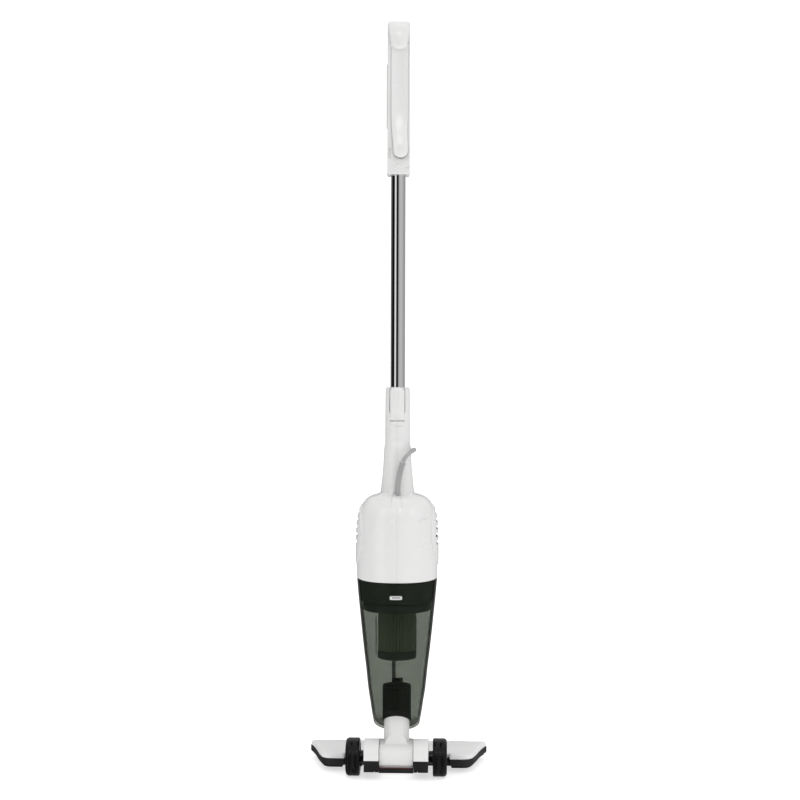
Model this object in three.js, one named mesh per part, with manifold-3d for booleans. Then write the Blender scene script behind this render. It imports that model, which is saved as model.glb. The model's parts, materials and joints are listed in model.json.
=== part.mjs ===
// Corded two-in-one stick vacuum cleaner, in millimetres, +Z up, user side at -Y.
// Floor head -> tilting neck -> dust cup -> motor unit with hand grip -> steel rod -> loop handle.
import * as THREE from "three";
import { mergeVertices } from "three/addons/utils/BufferGeometryUtils.js";
import Module from "manifold-3d";

const wasm = await Module();
wasm.setup();

// ---------------------------------------------------------------- driving dimensions
const TOTAL_Z = 1110; // floor to the top of the handle
const HEAD_HALF = 136; // half the width of the floor head
const HEAD_FRONT_Y = 104; // front edge of the floor head
const RIM_Z0 = 10, RIM_Z1 = 19.6; // bumper, bottom and top
const DECK_Z = 26; // top of the head cover
const PIVOT_Y = -8, PIVOT_Z = 27.5; // wheel axle and neck pivot
const WHEEL_R = 27.5, WHEEL_X0 = 53.5, WHEEL_X1 = 74.3;
const CHEEK_X0 = 25.3, CHEEK_X1 = 47, CHEEK_R = 29.2;
const AXLE_R = 3;
const NECK_R = 18.75, NECK_BORE = 16.2, NECK_TOP = 128;
const DUCT_R0 = 19.2, DUCT_R1 = 21, DUCT_TOP = 131;
const MOUTH_Z = 77.6, MOUTH_SLOPE = 0.632; // slanted underside of the cup
const CUP_TOP = 291.2, CUP_WALL = 2.2;
const SHELL_Z0 = 291.8, SHELL_WALL = 2.5;
const GRIP_TOP = 572;
const ROD_R = 10.7, ROD_BORE = 9.7, ROD_Z0 = 512, ROD_Z1 = 924;
const HANDLE_Z0 = 884.4, HANDLE_HALF = 17;
const LATCH_HALF = 10.6, LATCH_Z0 = 524.3, LATCH_Z1 = 571.6;
const CORD_R = 3;
const GAP = 0.3;

// half widths of the dust cup by height
const CUP = [[40, 28], [62, 31.5], [84, 34.8], [93, 36.5], [110.6, 39.2], [128, 42], [154.7, 44.8], [172.4, 46.9], [190, 49], [216.5, 51.9], [243, 54.6], [260.7, 56.4], [CUP_TOP, 59.1]];
// motor unit: height, half width, half depth
const BODY = [
  [SHELL_Z0, 59.2, 59.4], [331, 59.6, 60.6], [364, 59.2, 60.2], [384.5, 56.8, 57.8], [394, 54, 55],
  [402.2, 49.8, 50.6], [408.6, 44, 45.4], [412.4, 37, 39.4], [415, 28.6, 32], [416.6, 25.4, 29.4],
  [432, 23.2, 26.6], [455.5, 20.9, 23.8], [482, 19.6, 21.6], [491, 18.3, 20.4], [524, 18.2, 19.6], [GRIP_TOP, 18.1, 19.2],
];

// ---------------------------------------------------------------- helpers
const lerpAt = (table, z, k = 1) => {
  if (z <= table[0][0]) return table[0][k];
  for (let i = 1; i < table.length; i++)
    if (z <= table[i][0]) {
      const t = (z - table[i - 1][0]) / (table[i][0] - table[i - 1][0]);
      return table[i - 1][k] + t * (table[i][k] - table[i - 1][k]);
    }
  return table[table.length - 1][k];
};
const solid = (geometry) => {
  const g = geometry.index ? geometry.toNonIndexed() : geometry;
  const p = new THREE.BufferGeometry().setAttribute("position", g.getAttribute("position"));
  const m = mergeVertices(p, 1e-4);
  const tri = new Uint32Array(m.index.array);
  const vert = m.attributes.position.array;
  let volume = 0;
  const a = new THREE.Vector3(), b = new THREE.Vector3(), c = new THREE.Vector3();
  for (let i = 0; i < tri.length; i += 3) {
    a.fromArray(vert, tri[i] * 3); b.fromArray(vert, tri[i + 1] * 3); c.fromArray(vert, tri[i + 2] * 3);
    volume += a.dot(b.cross(c));
  }
  if (volume < 0) for (let i = 0; i < tri.length; i += 3) [tri[i + 1], tri[i + 2]] = [tri[i + 2], tri[i + 1]];
  return new wasm.Manifold(new wasm.Mesh({ numProp: 3, vertProperties: vert, triVerts: tri }));
};
const geometryOf = (m) => {
  const mesh = m.getMesh();
  const g = new THREE.BufferGeometry();
  g.setAttribute("position", new THREE.BufferAttribute(new Float32Array(mesh.vertProperties), 3));
  g.setIndex(new THREE.BufferAttribute(new Uint32Array(mesh.triVerts), 1));
  const flat = g.toNonIndexed();
  flat.computeVertexNormals();
  return flat;
};
const box = (x0, x1, y0, y1, z0, z1) => solid(new THREE.BoxGeometry(x1 - x0, y1 - y0, z1 - z0).translate((x0 + x1) / 2, (y0 + y1) / 2, (z0 + z1) / 2));
const cylZ = (r, z0, z1, x = 0, y = 0, seg = 24, r2 = r) => solid(new THREE.CylinderGeometry(r2, r, z1 - z0, seg).rotateX(Math.PI / 2).translate(x, y, (z0 + z1) / 2));
const cylX = (r, x0, x1, y, z, seg = 24) => solid(new THREE.CylinderGeometry(r, r, x1 - x0, seg).rotateZ(Math.PI / 2).translate((x0 + x1) / 2, y, z));
const cylY = (r, y0, y1, x, z, seg = 24) => solid(new THREE.CylinderGeometry(r, r, y1 - y0, seg).translate(x, (y0 + y1) / 2, z));
// profile [[r, z], ...] turned about the vertical through (x, y); closed unless it starts and ends on the axis
const turnedGeometry = (profile, seg = 26) => {
  const p = profile.map(([r, z]) => new THREE.Vector2(r, z));
  if (!(profile[0][0] === 0 && profile[profile.length - 1][0] === 0)) p.push(p[0].clone());
  return new THREE.LatheGeometry(p, seg).rotateX(Math.PI / 2);
};
const turned = (profile, seg = 26, x = 0, y = 0) => solid(turnedGeometry(profile, seg).translate(x, y, 0));
const turnedX = (profile, seg, y, z, mirror = 1) => solid(turnedGeometry(profile, seg).rotateY(mirror * Math.PI / 2).translate(0, y, z));
const shapeOf = (points, holes = []) => {
  const s = new THREE.Shape(points.map(([x, y]) => new THREE.Vector2(x, y)));
  for (const h of holes) s.holes.push(new THREE.Path(h.map(([x, y]) => new THREE.Vector2(x, y))));
  return s;
};
const slab = (points, z0, z1) => solid(new THREE.ExtrudeGeometry(shapeOf(points), { depth: z1 - z0, bevelEnabled: false }).translate(0, 0, z0));
// outline in (y, z), thick along x
const sideSlab = (points, x0, x1, bevel = 0) => {
  const make = (p, a, b) => solid(new THREE.ExtrudeGeometry(shapeOf(p), { depth: b - a, bevelEnabled: false }).rotateX(Math.PI / 2).rotateZ(Math.PI / 2).translate(a, 0, 0));
  return bevel ? make(points, x0 + bevel, x1 - bevel).add(make(inset(points, bevel * 0.8), x0, x1)) : make(points, x0, x1);
};
const ring = (a, b, z, seg, n = 2.2, cx = 0, cy = 0) => {
  const out = [];
  for (let i = 0; i < seg; i++) {
    const t = (i / seg) * 2 * Math.PI, c = Math.cos(t), s = Math.sin(t);
    out.push([cx + a * Math.sign(c) * Math.abs(c) ** (2 / n), cy + b * Math.sign(s) * Math.abs(s) ** (2 / n), z]);
  }
  return out;
};
const loft = (rings) => {
  const seg = rings[0].length, pos = [], idx = [];
  for (const r of rings) for (const p of r) pos.push(...p);
  for (let k = 0; k + 1 < rings.length; k++)
    for (let i = 0; i < seg; i++) {
      const j = (i + 1) % seg, a = k * seg + i, b = k * seg + j, c = a + seg, d = b + seg;
      idx.push(a, b, d, a, d, c);
    }
  const cap = (r, base, flip) => {
    const mid = r.reduce((s, p) => [s[0] + p[0] / seg, s[1] + p[1] / seg, s[2] + p[2] / seg], [0, 0, 0]);
    const m = pos.length / 3;
    pos.push(...mid);
    for (let i = 0; i < seg; i++) {
      const a = base + i, b = base + ((i + 1) % seg);
      if (flip) idx.push(m, b, a); else idx.push(m, a, b);
    }
  };
  cap(rings[0], 0, true);
  cap(rings[rings.length - 1], (rings.length - 1) * seg, false);
  const g = new THREE.BufferGeometry();
  g.setAttribute("position", new THREE.Float32BufferAttribute(pos, 3));
  g.setIndex(idx);
  return solid(g);
};
const cut = (a, ...bs) => bs.reduce((m, b) => m.subtract(b), a);
const join = (a, ...bs) => bs.reduce((m, b) => m.add(b), a);
// moves each corner of a closed outline inwards (by > 0); an edge that would turn round is dropped
const inset = (pts, by) => {
  const d = by * Math.sign(THREE.ShapeUtils.area(pts.map(([x, y]) => ({ x, y }))));
  const moved = pts.map((p, i) => {
    const a = pts[(i + pts.length - 1) % pts.length], b = pts[(i + 1) % pts.length];
    const n1 = new THREE.Vector2(-(p[1] - a[1]), p[0] - a[0]).normalize(), n2 = new THREE.Vector2(-(b[1] - p[1]), b[0] - p[0]).normalize();
    const m = n1.clone().add(n2).normalize(), k = d / Math.max(0.5, m.dot(n1));
    return [p[0] + m.x * k, p[1] + m.y * k];
  });
  const bad = new Set();
  moved.forEach((p, i) => {
    const j = (i + 1) % pts.length, q = moved[j];
    if ((q[0] - p[0]) * (pts[j][0] - pts[i][0]) + (q[1] - p[1]) * (pts[j][1] - pts[i][1]) <= 0) bad.add(i);
  });
  const out = [];
  for (let i = 0; i < moved.length; i++) {
    if (!bad.has(i)) { if (!bad.has((i + moved.length - 1) % moved.length)) out.push(moved[i]); continue; }
    const j = (i + 1) % moved.length;
    out.push([(moved[i][0] + moved[j][0]) / 2, (moved[i][1] + moved[j][1]) / 2]);
  }
  return out;
};
const rounded = (pts, r, steps = 4) => {
  const out = [];
  pts.forEach((p, i) => {
    const a = pts[(i + pts.length - 1) % pts.length], b = pts[(i + 1) % pts.length];
    const rr = Array.isArray(r) ? r[i] : r;
    const u = new THREE.Vector2(a[0] - p[0], a[1] - p[1]), v = new THREE.Vector2(b[0] - p[0], b[1] - p[1]);
    const d = Math.min(rr, u.length() / 2.05, v.length() / 2.05);
    if (d <= 0.01) { out.push(p); return; }
    u.normalize().multiplyScalar(d); v.normalize().multiplyScalar(d);
    for (let k = 0; k <= steps; k++) {
      const t = k / steps;
      out.push([p[0] + u.x * (1 - t) * (1 - t) + v.x * t * t, p[1] + u.y * (1 - t) * (1 - t) + v.y * t * t]);
    }
  });
  return out;
};
const group = new THREE.Group();
const cordNames = new Set(["mains_lead", "cord_hank", "cord_tie", "plug_body", "plug_pin_left", "plug_pin_right"]);
const paint = {
  white: { color: 0xe9e9e7, roughness: 0.38, metalness: 0 },
  black: { color: 0x1b1b1c, roughness: 0.5, metalness: 0 },
  rubber: { color: 0x141415, roughness: 0.75, metalness: 0 },
  smoke: { color: 0x3c433c, roughness: 0.12, metalness: 0 },
  steel: { color: 0xc9cbcd, roughness: 0.18, metalness: 1 },
  grey: { color: 0x9c9d9e, roughness: 0.6, metalness: 0 },
  filter: { color: 0x4c5148, roughness: 0.9, metalness: 0 },
  copper: { color: 0x8a5a3a, roughness: 0.45, metalness: 0.8 },
  bristle: { color: 0x303032, roughness: 0.9, metalness: 0 },
};
const put = (name, shape, look) => {
  const m = new THREE.Mesh(geometryOf(shape), new THREE.MeshStandardMaterial(paint[look]));
  m.name = name;
  group.add(m);
  return m;
};
const mirrorX = (f) => [["left", -1], ["right", 1]].forEach(([side, s]) => f(side, s));
const span = (s, a, b) => (s > 0 ? [a, b] : [-b, -a]);

// ---------------------------------------------------------------- floor head
// plan outline, anticlockwise from above
const half = [[0, 21], [25, 21], [49.5, 21], [49.5, 22.6], [77, 22.6], [77, 10], [100, 10], [107.5, 12.5], [113, 19], [118.5, 36], [124.5, 62], [131, 84], [135.2, 94], [HEAD_HALF, 98.5], [134.5, 102.5], [130, HEAD_FRONT_Y]];
const plan = [...half.slice(1), ...half.slice(1).reverse().map(([x, y]) => [-x, y])];
const planIn = (d) => inset(plan, d);
const centre = [[-37, 28.2], [-37.2, 36], [-35, 45.4], [-29, 53], [-21, 56.6], [-12, 55.4], [4, 51.6], [24, 46.8], [40, 42], [52, 35.6], [62, 29.4], [70, 25], [70, 22], [21.6, 22], [21.6, 11.6], [20.2, 11.6], [20.2, 28.2]];

// white upper shell: deck over the suction channel and the hinge housing with its two cheeks
let cover = join(slab(planIn(0.8), RIM_Z1 + 0.3, DECK_Z - 1.6), slab(planIn(3), RIM_Z1 + 0.3, DECK_Z));
const hump = sideSlab(centre, -CHEEK_X1, CHEEK_X1);
cover = join(cover, cut(hump, box(-60, 60, 20.9, 90, 0, RIM_Z1 + 0.3)));
cover = cut(cover,
  slab(inset(plan, 4.2), 0, 23.2).intersect(box(-200, 200, 24, 200, 0, 60)), // channel under the deck
  box(-CHEEK_X0, CHEEK_X0, -60, 20, 0, 80), // slot for the neck
  box(-18, 18, 10, 31, 24, 40), // window from the neck into the channel
  sideSlab([[26, 20], [26, 42], [32, 41], [40, 37.4], [50, 31.4], [60, 24], [60, 20]], -40, 40), // hollow of the hump
  cylX(AXLE_R + GAP, -60, 60, PIVOT_Y, PIVOT_Z, 24));
put("head_cover", cover, "white");

// bumper round the deck, in soft black
put("head_bumper", cut(slab(plan, RIM_Z0, RIM_Z1), slab(inset(plan, 3.2), 0, 40)), "rubber");

// sole plate with the suction slot and the roller pockets
const soleOut = inset(plan, 3.6);
let sole = slab(soleOut, 6, 19);
sole = cut(sole, slab(inset(plan, 6.2), 9.5, 30).intersect(box(-200, 200, 25, 200, 0, 60)),
  slab(rounded([[-104, 70], [104, 70], [104, 90], [-104, 90]], 5), 0, 30));
mirrorX((_, s) => { const [a, b] = span(s, 51.5, 68.5); sole = cut(sole, box(a, b, 34, 54, 0, 30)); });
sole = cut(sole, box(-4, 4, 40, 48, 0, 7.2));
put("head_sole", sole, "black");
mirrorX((side, s) => {
  const [a, b] = span(s, CHEEK_X0 + 0.2, CHEEK_X1 - 0.2);
  put("yoke_" + side, cut(sideSlab(rounded([[-36.6, 11.4], [20, 11.4], [20, 27.9], [-36.8, 27.9]], 2), a, b), cylX(AXLE_R + GAP, -60, 60, PIVOT_Y, PIVOT_Z, 24),
    cylZ(3.6, 0, 14.4, s * 36, -27, 20)), "black");
  put("yoke_screw_" + side, cut(turned([[0, 11.8], [3.2, 11.8], [3.2, 14.1], [0, 14.1]], 18, s * 36, -27), box(s * 36 - 2.6, s * 36 + 2.6, -27.5, -26.5, 11, 12.8)), "steel");
  const [h0, h1] = span(s, WHEEL_X0 + 0.8, WHEEL_X1 - 1.2);
  const [b0, b1] = span(s, CHEEK_X1 + 0.4, WHEEL_X0 + 2);
  put("wheel_hub_" + side, cut(join(cylX(20.2, h0, h1, PIVOT_Y, PIVOT_Z, 32), cylX(9.3, b0, b1, PIVOT_Y, PIVOT_Z, 24)), cylX(AXLE_R + GAP, h0 - 9, h1 + 9, PIVOT_Y, PIVOT_Z, 24), cylX(15, s > 0 ? h1 - 3 : h0 - 2, s > 0 ? h1 + 2 : h0 + 3, PIVOT_Y, PIVOT_Z, 24)), "black");
  const x0 = s * WHEEL_X0, x1 = s * WHEEL_X1;
  const prof = [[20.5, x0], [WHEEL_R - 0.6, x0], [WHEEL_R, x0 + s * 0.8], [WHEEL_R, x1 - s * 4], [WHEEL_R - 1.4, x1 - s * 1.4], [WHEEL_R - 4.4, x1], [20.5, x1]];
  put("tyre_" + side, turnedX(prof, 32, PIVOT_Y, PIVOT_Z), "rubber");
  const c = s * 60;
  put("roller_" + side, turnedX([[0, c - 9.6 + 1.6], [2, c - 8], [2, c - 7], [7.4, c - 7], [8, c - 6.4], [8, c + 6.4], [7.4, c + 7], [2, c + 7], [2, c + 8], [0, c + 8]], 16, 44, 8), "black");
});
put("yoke_bar", sideSlab(rounded([[-34.5, 10.2], [-30.8, 10.2], [-30.8, 18], [-34.5, 18]], 1), -CHEEK_X0 + 0.1, CHEEK_X0 - 0.1), "black");
put("head_axle", cylX(AXLE_R, -WHEEL_X1 + 2, WHEEL_X1 - 2, PIVOT_Y, PIVOT_Z, 24), "steel");
put("brush_strip", cut(box(-108, 108, 92.6, 98, 0.6, 5.7), ...[-90, -70, -50, -30, -10, 10, 30, 50, 70, 90].map((x) => box(x - 1, x + 1, 90, 100, 0, 3.4))), "bristle");
put("lint_strip", box(-104, 104, 60.5, 66.5, 3.4, 5.7), "rubber");

// ---------------------------------------------------------------- tilting neck
const neckBarrel = cylX(22, -24.8, 24.8, PIVOT_Y, PIVOT_Z, 32);
let neck = join(neckBarrel, cylZ(NECK_R, PIVOT_Z, NECK_TOP, 0, 0, 32));
neck = join(neck, box(-NECK_R, NECK_R, -19.5, 0, 34, 49));
neck = cut(neck, cylZ(NECK_BORE, 34, NECK_TOP + 1, 0, 0, 28), box(-14, 14, -4, 30, 20, 40), cylX(AXLE_R + GAP, -40, 40, PIVOT_Y, PIVOT_Z, 24),
  turned([[17.6, 120.2], [30, 120.2], [30, 123.8], [17.6, 123.8]], 32));
put("neck_tube", neck, "white");
put("neck_seal", turned([[17.9, 120.6], [18.9, 120.6], [19.05, 122], [18.9, 123.4], [17.9, 123.4]], 28), "rubber");

// ---------------------------------------------------------------- dust cup
const CSEG = 36;
const cupLoft = (d, zs) => loft(zs.map((z) => { const a = lerpAt(CUP, z) - d; return ring(a, a, z, CSEG); }));
const below = (shift) => { // everything under the slanted plane
  const g = new THREE.BoxGeometry(300, 400, 200).translate(0, 0, -100);
  g.rotateX(-Math.atan(MOUTH_SLOPE)).translate(0, 0, MOUTH_Z + shift);
  return solid(g);
};
const cupZ = [40, 62, 84, 110.6, 128, 154.7, 190, 243, CUP_TOP];
let cup = cut(cupLoft(0, cupZ), below(0));
const cupIn = cut(cupLoft(CUP_WALL, [...cupZ.slice(0, -1), CUP_TOP + 5]), below(3));
cup = cut(cup, cupIn, cylZ(DUCT_R1 + GAP, 20, 132, 0, 0, 28));
cup = cut(cup, box(-9.4, 9.4, -70, -40, 264.6, 272)); // slot of the rear catch
mirrorX((_, s) => { cup = join(cup, cut(box(s * 29 - 0.7, s * 29 + 0.7, -44, -36, 156, 238).intersect(cupLoft(0.8, cupZ)))); });
put("dust_cup", cup, "smoke");
let duct = turned([[DUCT_R0, 60], [DUCT_R1, 60], [DUCT_R1, DUCT_TOP - 3], [DUCT_R1, DUCT_TOP], [DUCT_R0, DUCT_TOP]], 28);
duct = cut(duct, below(0.2));
duct = join(duct, cut(box(-8, 8, 19.6, 25.2, 122, 138), box(-5.2, 5.2, 19, 30, 131, 145)));
duct = cut(duct, cylX(1.5, -12, 12, 23.3, 135.4, 16));
put("inlet_duct", duct, "black");
put("flap_pin", cylX(1.2, -8, 8, 23.3, 135.4, 16), "steel");
let flap = turned([[0, DUCT_TOP + 0.5], [20.6, DUCT_TOP + 0.5], [20.6, DUCT_TOP + 1.6], [12, DUCT_TOP + 3.4], [0, DUCT_TOP + 4]], 28);
flap = cut(join(flap, box(-4.6, 4.6, 15, 23.6, DUCT_TOP + 0.5, DUCT_TOP + 3), cylX(2.6, -4.6, 4.6, 23.3, 135.4, 20)), cylX(1.5, -12, 12, 23.3, 135.4, 16), box(-9, -4.9, 18.8, 26, 125, 138.4), box(4.9, 9, 18.8, 26, 125, 138.4));
put("inlet_flap", flap, "rubber");

// ---------------------------------------------------------------- motor unit
const BSEG = 32;
const bodyZ = BODY.map((r) => r[0]);
const bodyLoft = (d, zs, n = 2.25) => loft(zs.map((z) => ring(lerpAt(BODY, z, 1) - d, lerpAt(BODY, z, 2) - d, z, BSEG, n)));
const outer = bodyLoft(0, bodyZ);
const inside = (z, k) => Math.min(lerpAt(BODY, z, k) - SHELL_WALL, lerpAt(BODY, z + 2.8, k) - 0.8);
const inner = loft([SHELL_Z0 - 4, 331, 364, 381, 391, 400, 406, 409.6, 412, 413.6, 418, 455, 500].map((z) => ring(inside(z, 1), inside(z, 2), z, BSEG, 2.25)));
let shell = cut(outer, inner, cylZ(ROD_R + 0.5, 480, 600, 0, 0, 28));
const winLatch = box(-LATCH_HALF - 1.2, LATCH_HALF + 1.2, -30, -10, LATCH_Z0 - 1.1, 600);
const ventSlots = (grow) => [0, 1, 2, 3, 4].map((i) => ({ z: 344.4 + 11.1 * i, w: 25 - Math.abs(i - 1) * 2.6 + grow, h: 2.7 + grow }));
shell = cut(shell, winLatch,
  box(-7, 7, 10, 40, 441.6, 468.4), // power button window
  box(-9.6, 9.6, 40, 80, 297.4, 313.6), // cup release window
  solid(new THREE.ExtrudeGeometry(shapeOf([[-9.4, 397], [9.4, 397], [5.6, 417.6], [-5.6, 417.6]]), { depth: 40, bevelEnabled: false }).rotateX(Math.PI / 2).translate(0, -20, 0)), // gland seat
  box(40, 80, -25, 25, 341, 392), box(-80, -40, -25, 25, 341, 392)); // air windows behind the vent panels
const bosses = [[-50.6, 326], [50.6, 330], [50.4, 378]];
shell = join(shell, ...bosses.map(([y, z]) => cylX(4.2, -50, 50, y, z, 20).intersect(outer)));
shell = cut(shell, ...bosses.map(([y, z]) => join(cylX(1.9, -14, 60, y, z, 16), cylX(3.4, 16.8, 80, y, z, 18))));
shell = cut(shell, cylZ(46, 270, 392, 0, 0, 28)); // clear of the motor and its mounts
put("shell_left", shell.intersect(box(-90, -0.15, -90, 90, 200, 700)), "white");
put("shell_right", shell.intersect(box(0.15, 90, -90, 90, 200, 700)), "white");
bosses.forEach(([y, z], i) => put("shell_screw_" + "abc"[i], join(cylX(3, 17.2, 19.7, y, z, 16), cylX(1.5, -12, 17.4, y, z, 12)).subtract(join(box(18.9, 21, y - 2, y + 2, z - 0.4, z + 0.4), box(18.9, 21, y - 0.4, y + 0.4, z - 2, z + 2))), "steel"));
mirrorX((side, s) => {
  const oval = solid(new THREE.CylinderGeometry(1, 1, 60, 28).rotateZ(Math.PI / 2).scale(1, 37, 44).translate(s * 70, 0, 355));
  let v = cut(bodyLoft(-1.7, [300, 331, 364, 384.5, 394, 402.2]), bodyLoft(-0.3, [290, 331, 364, 384.5, 394, 402.2, 408.6])).intersect(oval);
  v = cut(v, ...ventSlots(0).map((t) => box(s > 0 ? 40 : -80, s > 0 ? 80 : -40, -t.w, t.w, t.z - t.h, t.z + t.h)));
  put("vent_" + side, v, "white");
});
// black skirt that plugs into the cup and carries the filter
let skirt = cut(loft([257.2, 260.7, 275, SHELL_Z0 - 0.4].map((z) => { const a = lerpAt(CUP, z) - CUP_WALL - 0.6; return ring(a, a, z, CSEG); })),
  loft([260, 275, SHELL_Z0 + 3].map((z) => { const a = lerpAt(CUP, z) - CUP_WALL - 3; return ring(a, a, z, CSEG); })), cylZ(24.4, 250, 300, 0, 0, 40));
put("motor_skirt", skirt, "black");
put("rear_catch", box(-8.6, 8.6, -57.4, -54.6, 265.4, 271.2), "white");
put("fan_cover", turned([[6, 287.6], [44, 287.6], [44, 291], [38, 291], [20, 290], [6, 290]], 28), "black");
put("fan_impeller", cut(join(turned([[3.3, 266], [10, 266], [12, 276], [40, 281.5], [40, 283.2], [3.3, 283.2]], 24), ...[0, 1, 2, 3, 4, 5, 6].map((i) => solid(new THREE.BoxGeometry(30, 1.2, 6.6).translate(24, 0, 279.8).rotateZ((i / 7) * 2 * Math.PI)))).subtract(cylZ(3.3, 200, 300, 0, 0, 20)), solid(turnedGeometry([[40, 270], [60, 270], [60, 290], [40, 290]], 24))), "black");
put("motor_rotor", turned([[0, 263.6], [3, 263.6], [3, 304], [9, 304], [9, 310], [26, 312], [26, 348], [12, 351], [12, 362], [3, 362], [3, 378], [0, 378]], 20), "copper");
let can = turned([[3.8, 291.6], [36, 291.6], [38, 294], [38, 366], [32, 371.6], [3.8, 371.6], [3.8, 367.4], [30, 367.4], [33.6, 362], [33.6, 297], [31.6, 295.6], [3.8, 295.6]], 24);
can = cut(can, box(-6, 6, 20, 50, 299, 313), box(-6, 6, -50, -20, 299, 313));
put("motor_can", can, "steel");
put("motor_mount", cut(turned([[38.4, 340], [45.4, 340], [45.4, 352], [38.4, 352]], 24)), "rubber");
put("switch_module", join(box(-7.5, 7.5, 2, 13.4, 442, 468), box(-5, 5, -4, 3, 446, 462)), "black");
put("power_button", solid(new THREE.ExtrudeGeometry(shapeOf(rounded([[-6.6, 442], [6.6, 442], [6.6, 468], [-6.6, 468]], 4)), { depth: 9.6, bevelEnabled: false }).rotateX(Math.PI / 2).translate(0, 25.4, 0)), "grey");
put("cup_button", solid(new THREE.ExtrudeGeometry(shapeOf(rounded([[-9.2, 297.8], [9.2, 297.8], [9.2, 313.2], [-9.2, 313.2]], 4)), { depth: 9, bevelEnabled: false }).rotateX(Math.PI / 2).translate(0, 62, 0)), "grey");
let latch = cut(outer.intersect(box(-LATCH_HALF, LATCH_HALF, -30, -15.2, LATCH_Z0, LATCH_Z1)), cylZ(15.4, 500, 600, 0, 0, 28));
latch = join(latch, box(-4, 4, -16, -12.4, 552, 556));
put("rod_latch", latch, "white");
// keystone gland, strain relief, cable clamp
put("cord_gland", cut(solid(new THREE.ExtrudeGeometry(shapeOf([[-9, 397.5], [9, 397.5], [5.3, 416.6], [-5.3, 416.6]]), { depth: 30, bevelEnabled: false }).rotateX(Math.PI / 2).translate(0, -24.4, 0)).intersect(bodyLoft(-0.4, [390, 394, 402.2, 408.6, 412.4, 415, 416.6, 420])), box(-20, 20, -26, 0, 380, 407)), "white");
const tubeAlong = (pts, r, steps, sides, closed = false) => {
  const curve = new THREE.CatmullRomCurve3(pts.map((p) => new THREE.Vector3(...p)), closed, "centripetal");
  const sec = new THREE.Shape(Array.from({ length: sides }, (_, i) => new THREE.Vector2(r * Math.cos((i / sides) * 2 * Math.PI), r * Math.sin((i / sides) * 2 * Math.PI))));
  return solid(new THREE.ExtrudeGeometry(sec, { steps, bevelEnabled: false, extrudePath: curve }));
};
const RELIEF = [[1, -34.6, 417.2], [1.6, -34.4, 428], [3.4, -34, 441], [5.8, -33.7, 452], [8.8, -33.4, 462]];
let relief = tubeAlong(RELIEF, 4.3, 10, 12);
put("strain_relief", relief, "grey");
put("cable_clamp", cut(box(-9, 9, -20, -12, 424, 431), cylZ(3.5, 400, 440, 0, -16, 16)), "black");

// ---------------------------------------------------------------- rod
let rod = turned([[ROD_BORE, ROD_Z0], [ROD_R, ROD_Z0], [ROD_R, ROD_Z1], [ROD_BORE, ROD_Z1]], 28);
rod = cut(rod, box(-4.4, 4.4, -20, 0, 551, 557));
put("rod_tube", rod, "steel");
put("rod_plug", cut(turned([[0, ROD_Z0 + 4], [9.4, ROD_Z0 + 4], [9.4, 540], [6, 540], [6, ROD_Z0 + 10], [0, ROD_Z0 + 10]], 24)), "black");

// ---------------------------------------------------------------- handle
const Z = (v) => v;
const loop = rounded([[-17, Z(884.4)], [17, 884.4], [18.6, 940], [34, 962], [60, 978], [72, 1008], [72, 1036], [62, 1070], [38, 1097], [6, 1109], [-12, TOTAL_Z], [-20, 1106], [-22, 1090], [-19.5, 1060], [-16.5, 1000], [-17.5, 950], [-18, 930]], [3, 3, 12, 16, 18, 18, 18, 22, 24, 10, 6, 6, 6, 12, 12, 10, 8], 2);
const hole = rounded([[9, 962], [30, 972], [49, 988], [54, 1008], [53, 1034], [42, 1058], [18, 1070], [8, 1058], [7, 1000]], [6, 8, 8, 8, 10, 12, 10, 8, 10], 2);
let handle = cut(sideSlab(loop, -HANDLE_HALF, HANDLE_HALF, 3), sideSlab(hole, -30, 30), cylZ(ROD_R + GAP, 870, ROD_Z1 + 1, 0, 0, 32));
put("handle_shell", cut(handle, box(-12.8, 12.8, -40, -14.2, 908, 1101)), "white");
const coverLine = [[-14.5, 912], [-25.6, 909.4], [-29.6, 912], [-30.4, 920], [-27.4, 938], [-23, 958], [-20.6, 985], [-20.4, 1015], [-21.8, 1045], [-24, 1066], [-24.6, 1070.6], [-31, 1071.4], [-32.6, 1078], [-31.6, 1092], [-27, 1103], [-22.6, 1099.6], [-14.5, 1099.6]];
let grip = sideSlab(coverLine, -12.5, 12.5, 1.4);
grip = cut(grip, sideSlab([[-22.6, 900], [-22.6, 925], [-19, 932], [-10, 932], [-10, 900]], -20, 20));
put("handle_cover", grip, "white");
put("handle_screw", cut(turned([[0, 905.4], [0.01, 905.4], [3, 905.4], [3, 907.6], [0, 907.6]].slice(0, 1).concat([[3, 905.4], [3, 907.6], [0, 907.6]]), 18, 0, 0).intersect(box(-1, 1, -1, 1, 0, 1)).add(join(cylY(3, -20.4, -18.2, 0, 896, 18))), box(-2, 2, -21, -19.8, 895.6, 896.4)), "steel");

// ---------------------------------------------------------------- mains lead, put away in a tied hank in front of the head
const HANK_Y0 = 104.7, HANK_Y1 = 186.8, WAIST_Y1 = 149.2, HANK_H = 18.3;
const lobe = [[34, WAIST_Y1], [48, 154.5], [60, 164], [72, 175.5], [84, 184], [92, HANK_Y1], [131, HANK_Y1], [131, HANK_Y0]];
const hankLine = rounded([...lobe, ...lobe.slice().reverse().map(([x, y]) => [-x, y])], [0, 0, 0, 0, 0, 0, 40, 40, 40, 40, 0, 0, 0, 0, 0, 0], 6);
let hank = slab(hankLine, 0, HANK_H);
hank = cut(hank, sideSlab([[124, HANK_H], [HANK_Y1, 6.6], [260, 6.6], [260, 60], [124, 60]], -200, 200)); // lower on its far side
const tieOut = rounded([[HANK_Y0 + 0.7, 0.1], [WAIST_Y1 + 1.2, 0.1], [WAIST_Y1 + 1.2, 14.6], [126, HANK_H + 1.1], [HANK_Y0 + 0.7, HANK_H + 1.1]], 3, 3);
const tieIn = inset(tieOut, 1.2);
hank = cut(hank, cut(box(-6.6, 6.6, 90, 200, -1, 40), sideSlab(inset(tieOut, 1.5), -20, 20)));
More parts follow.
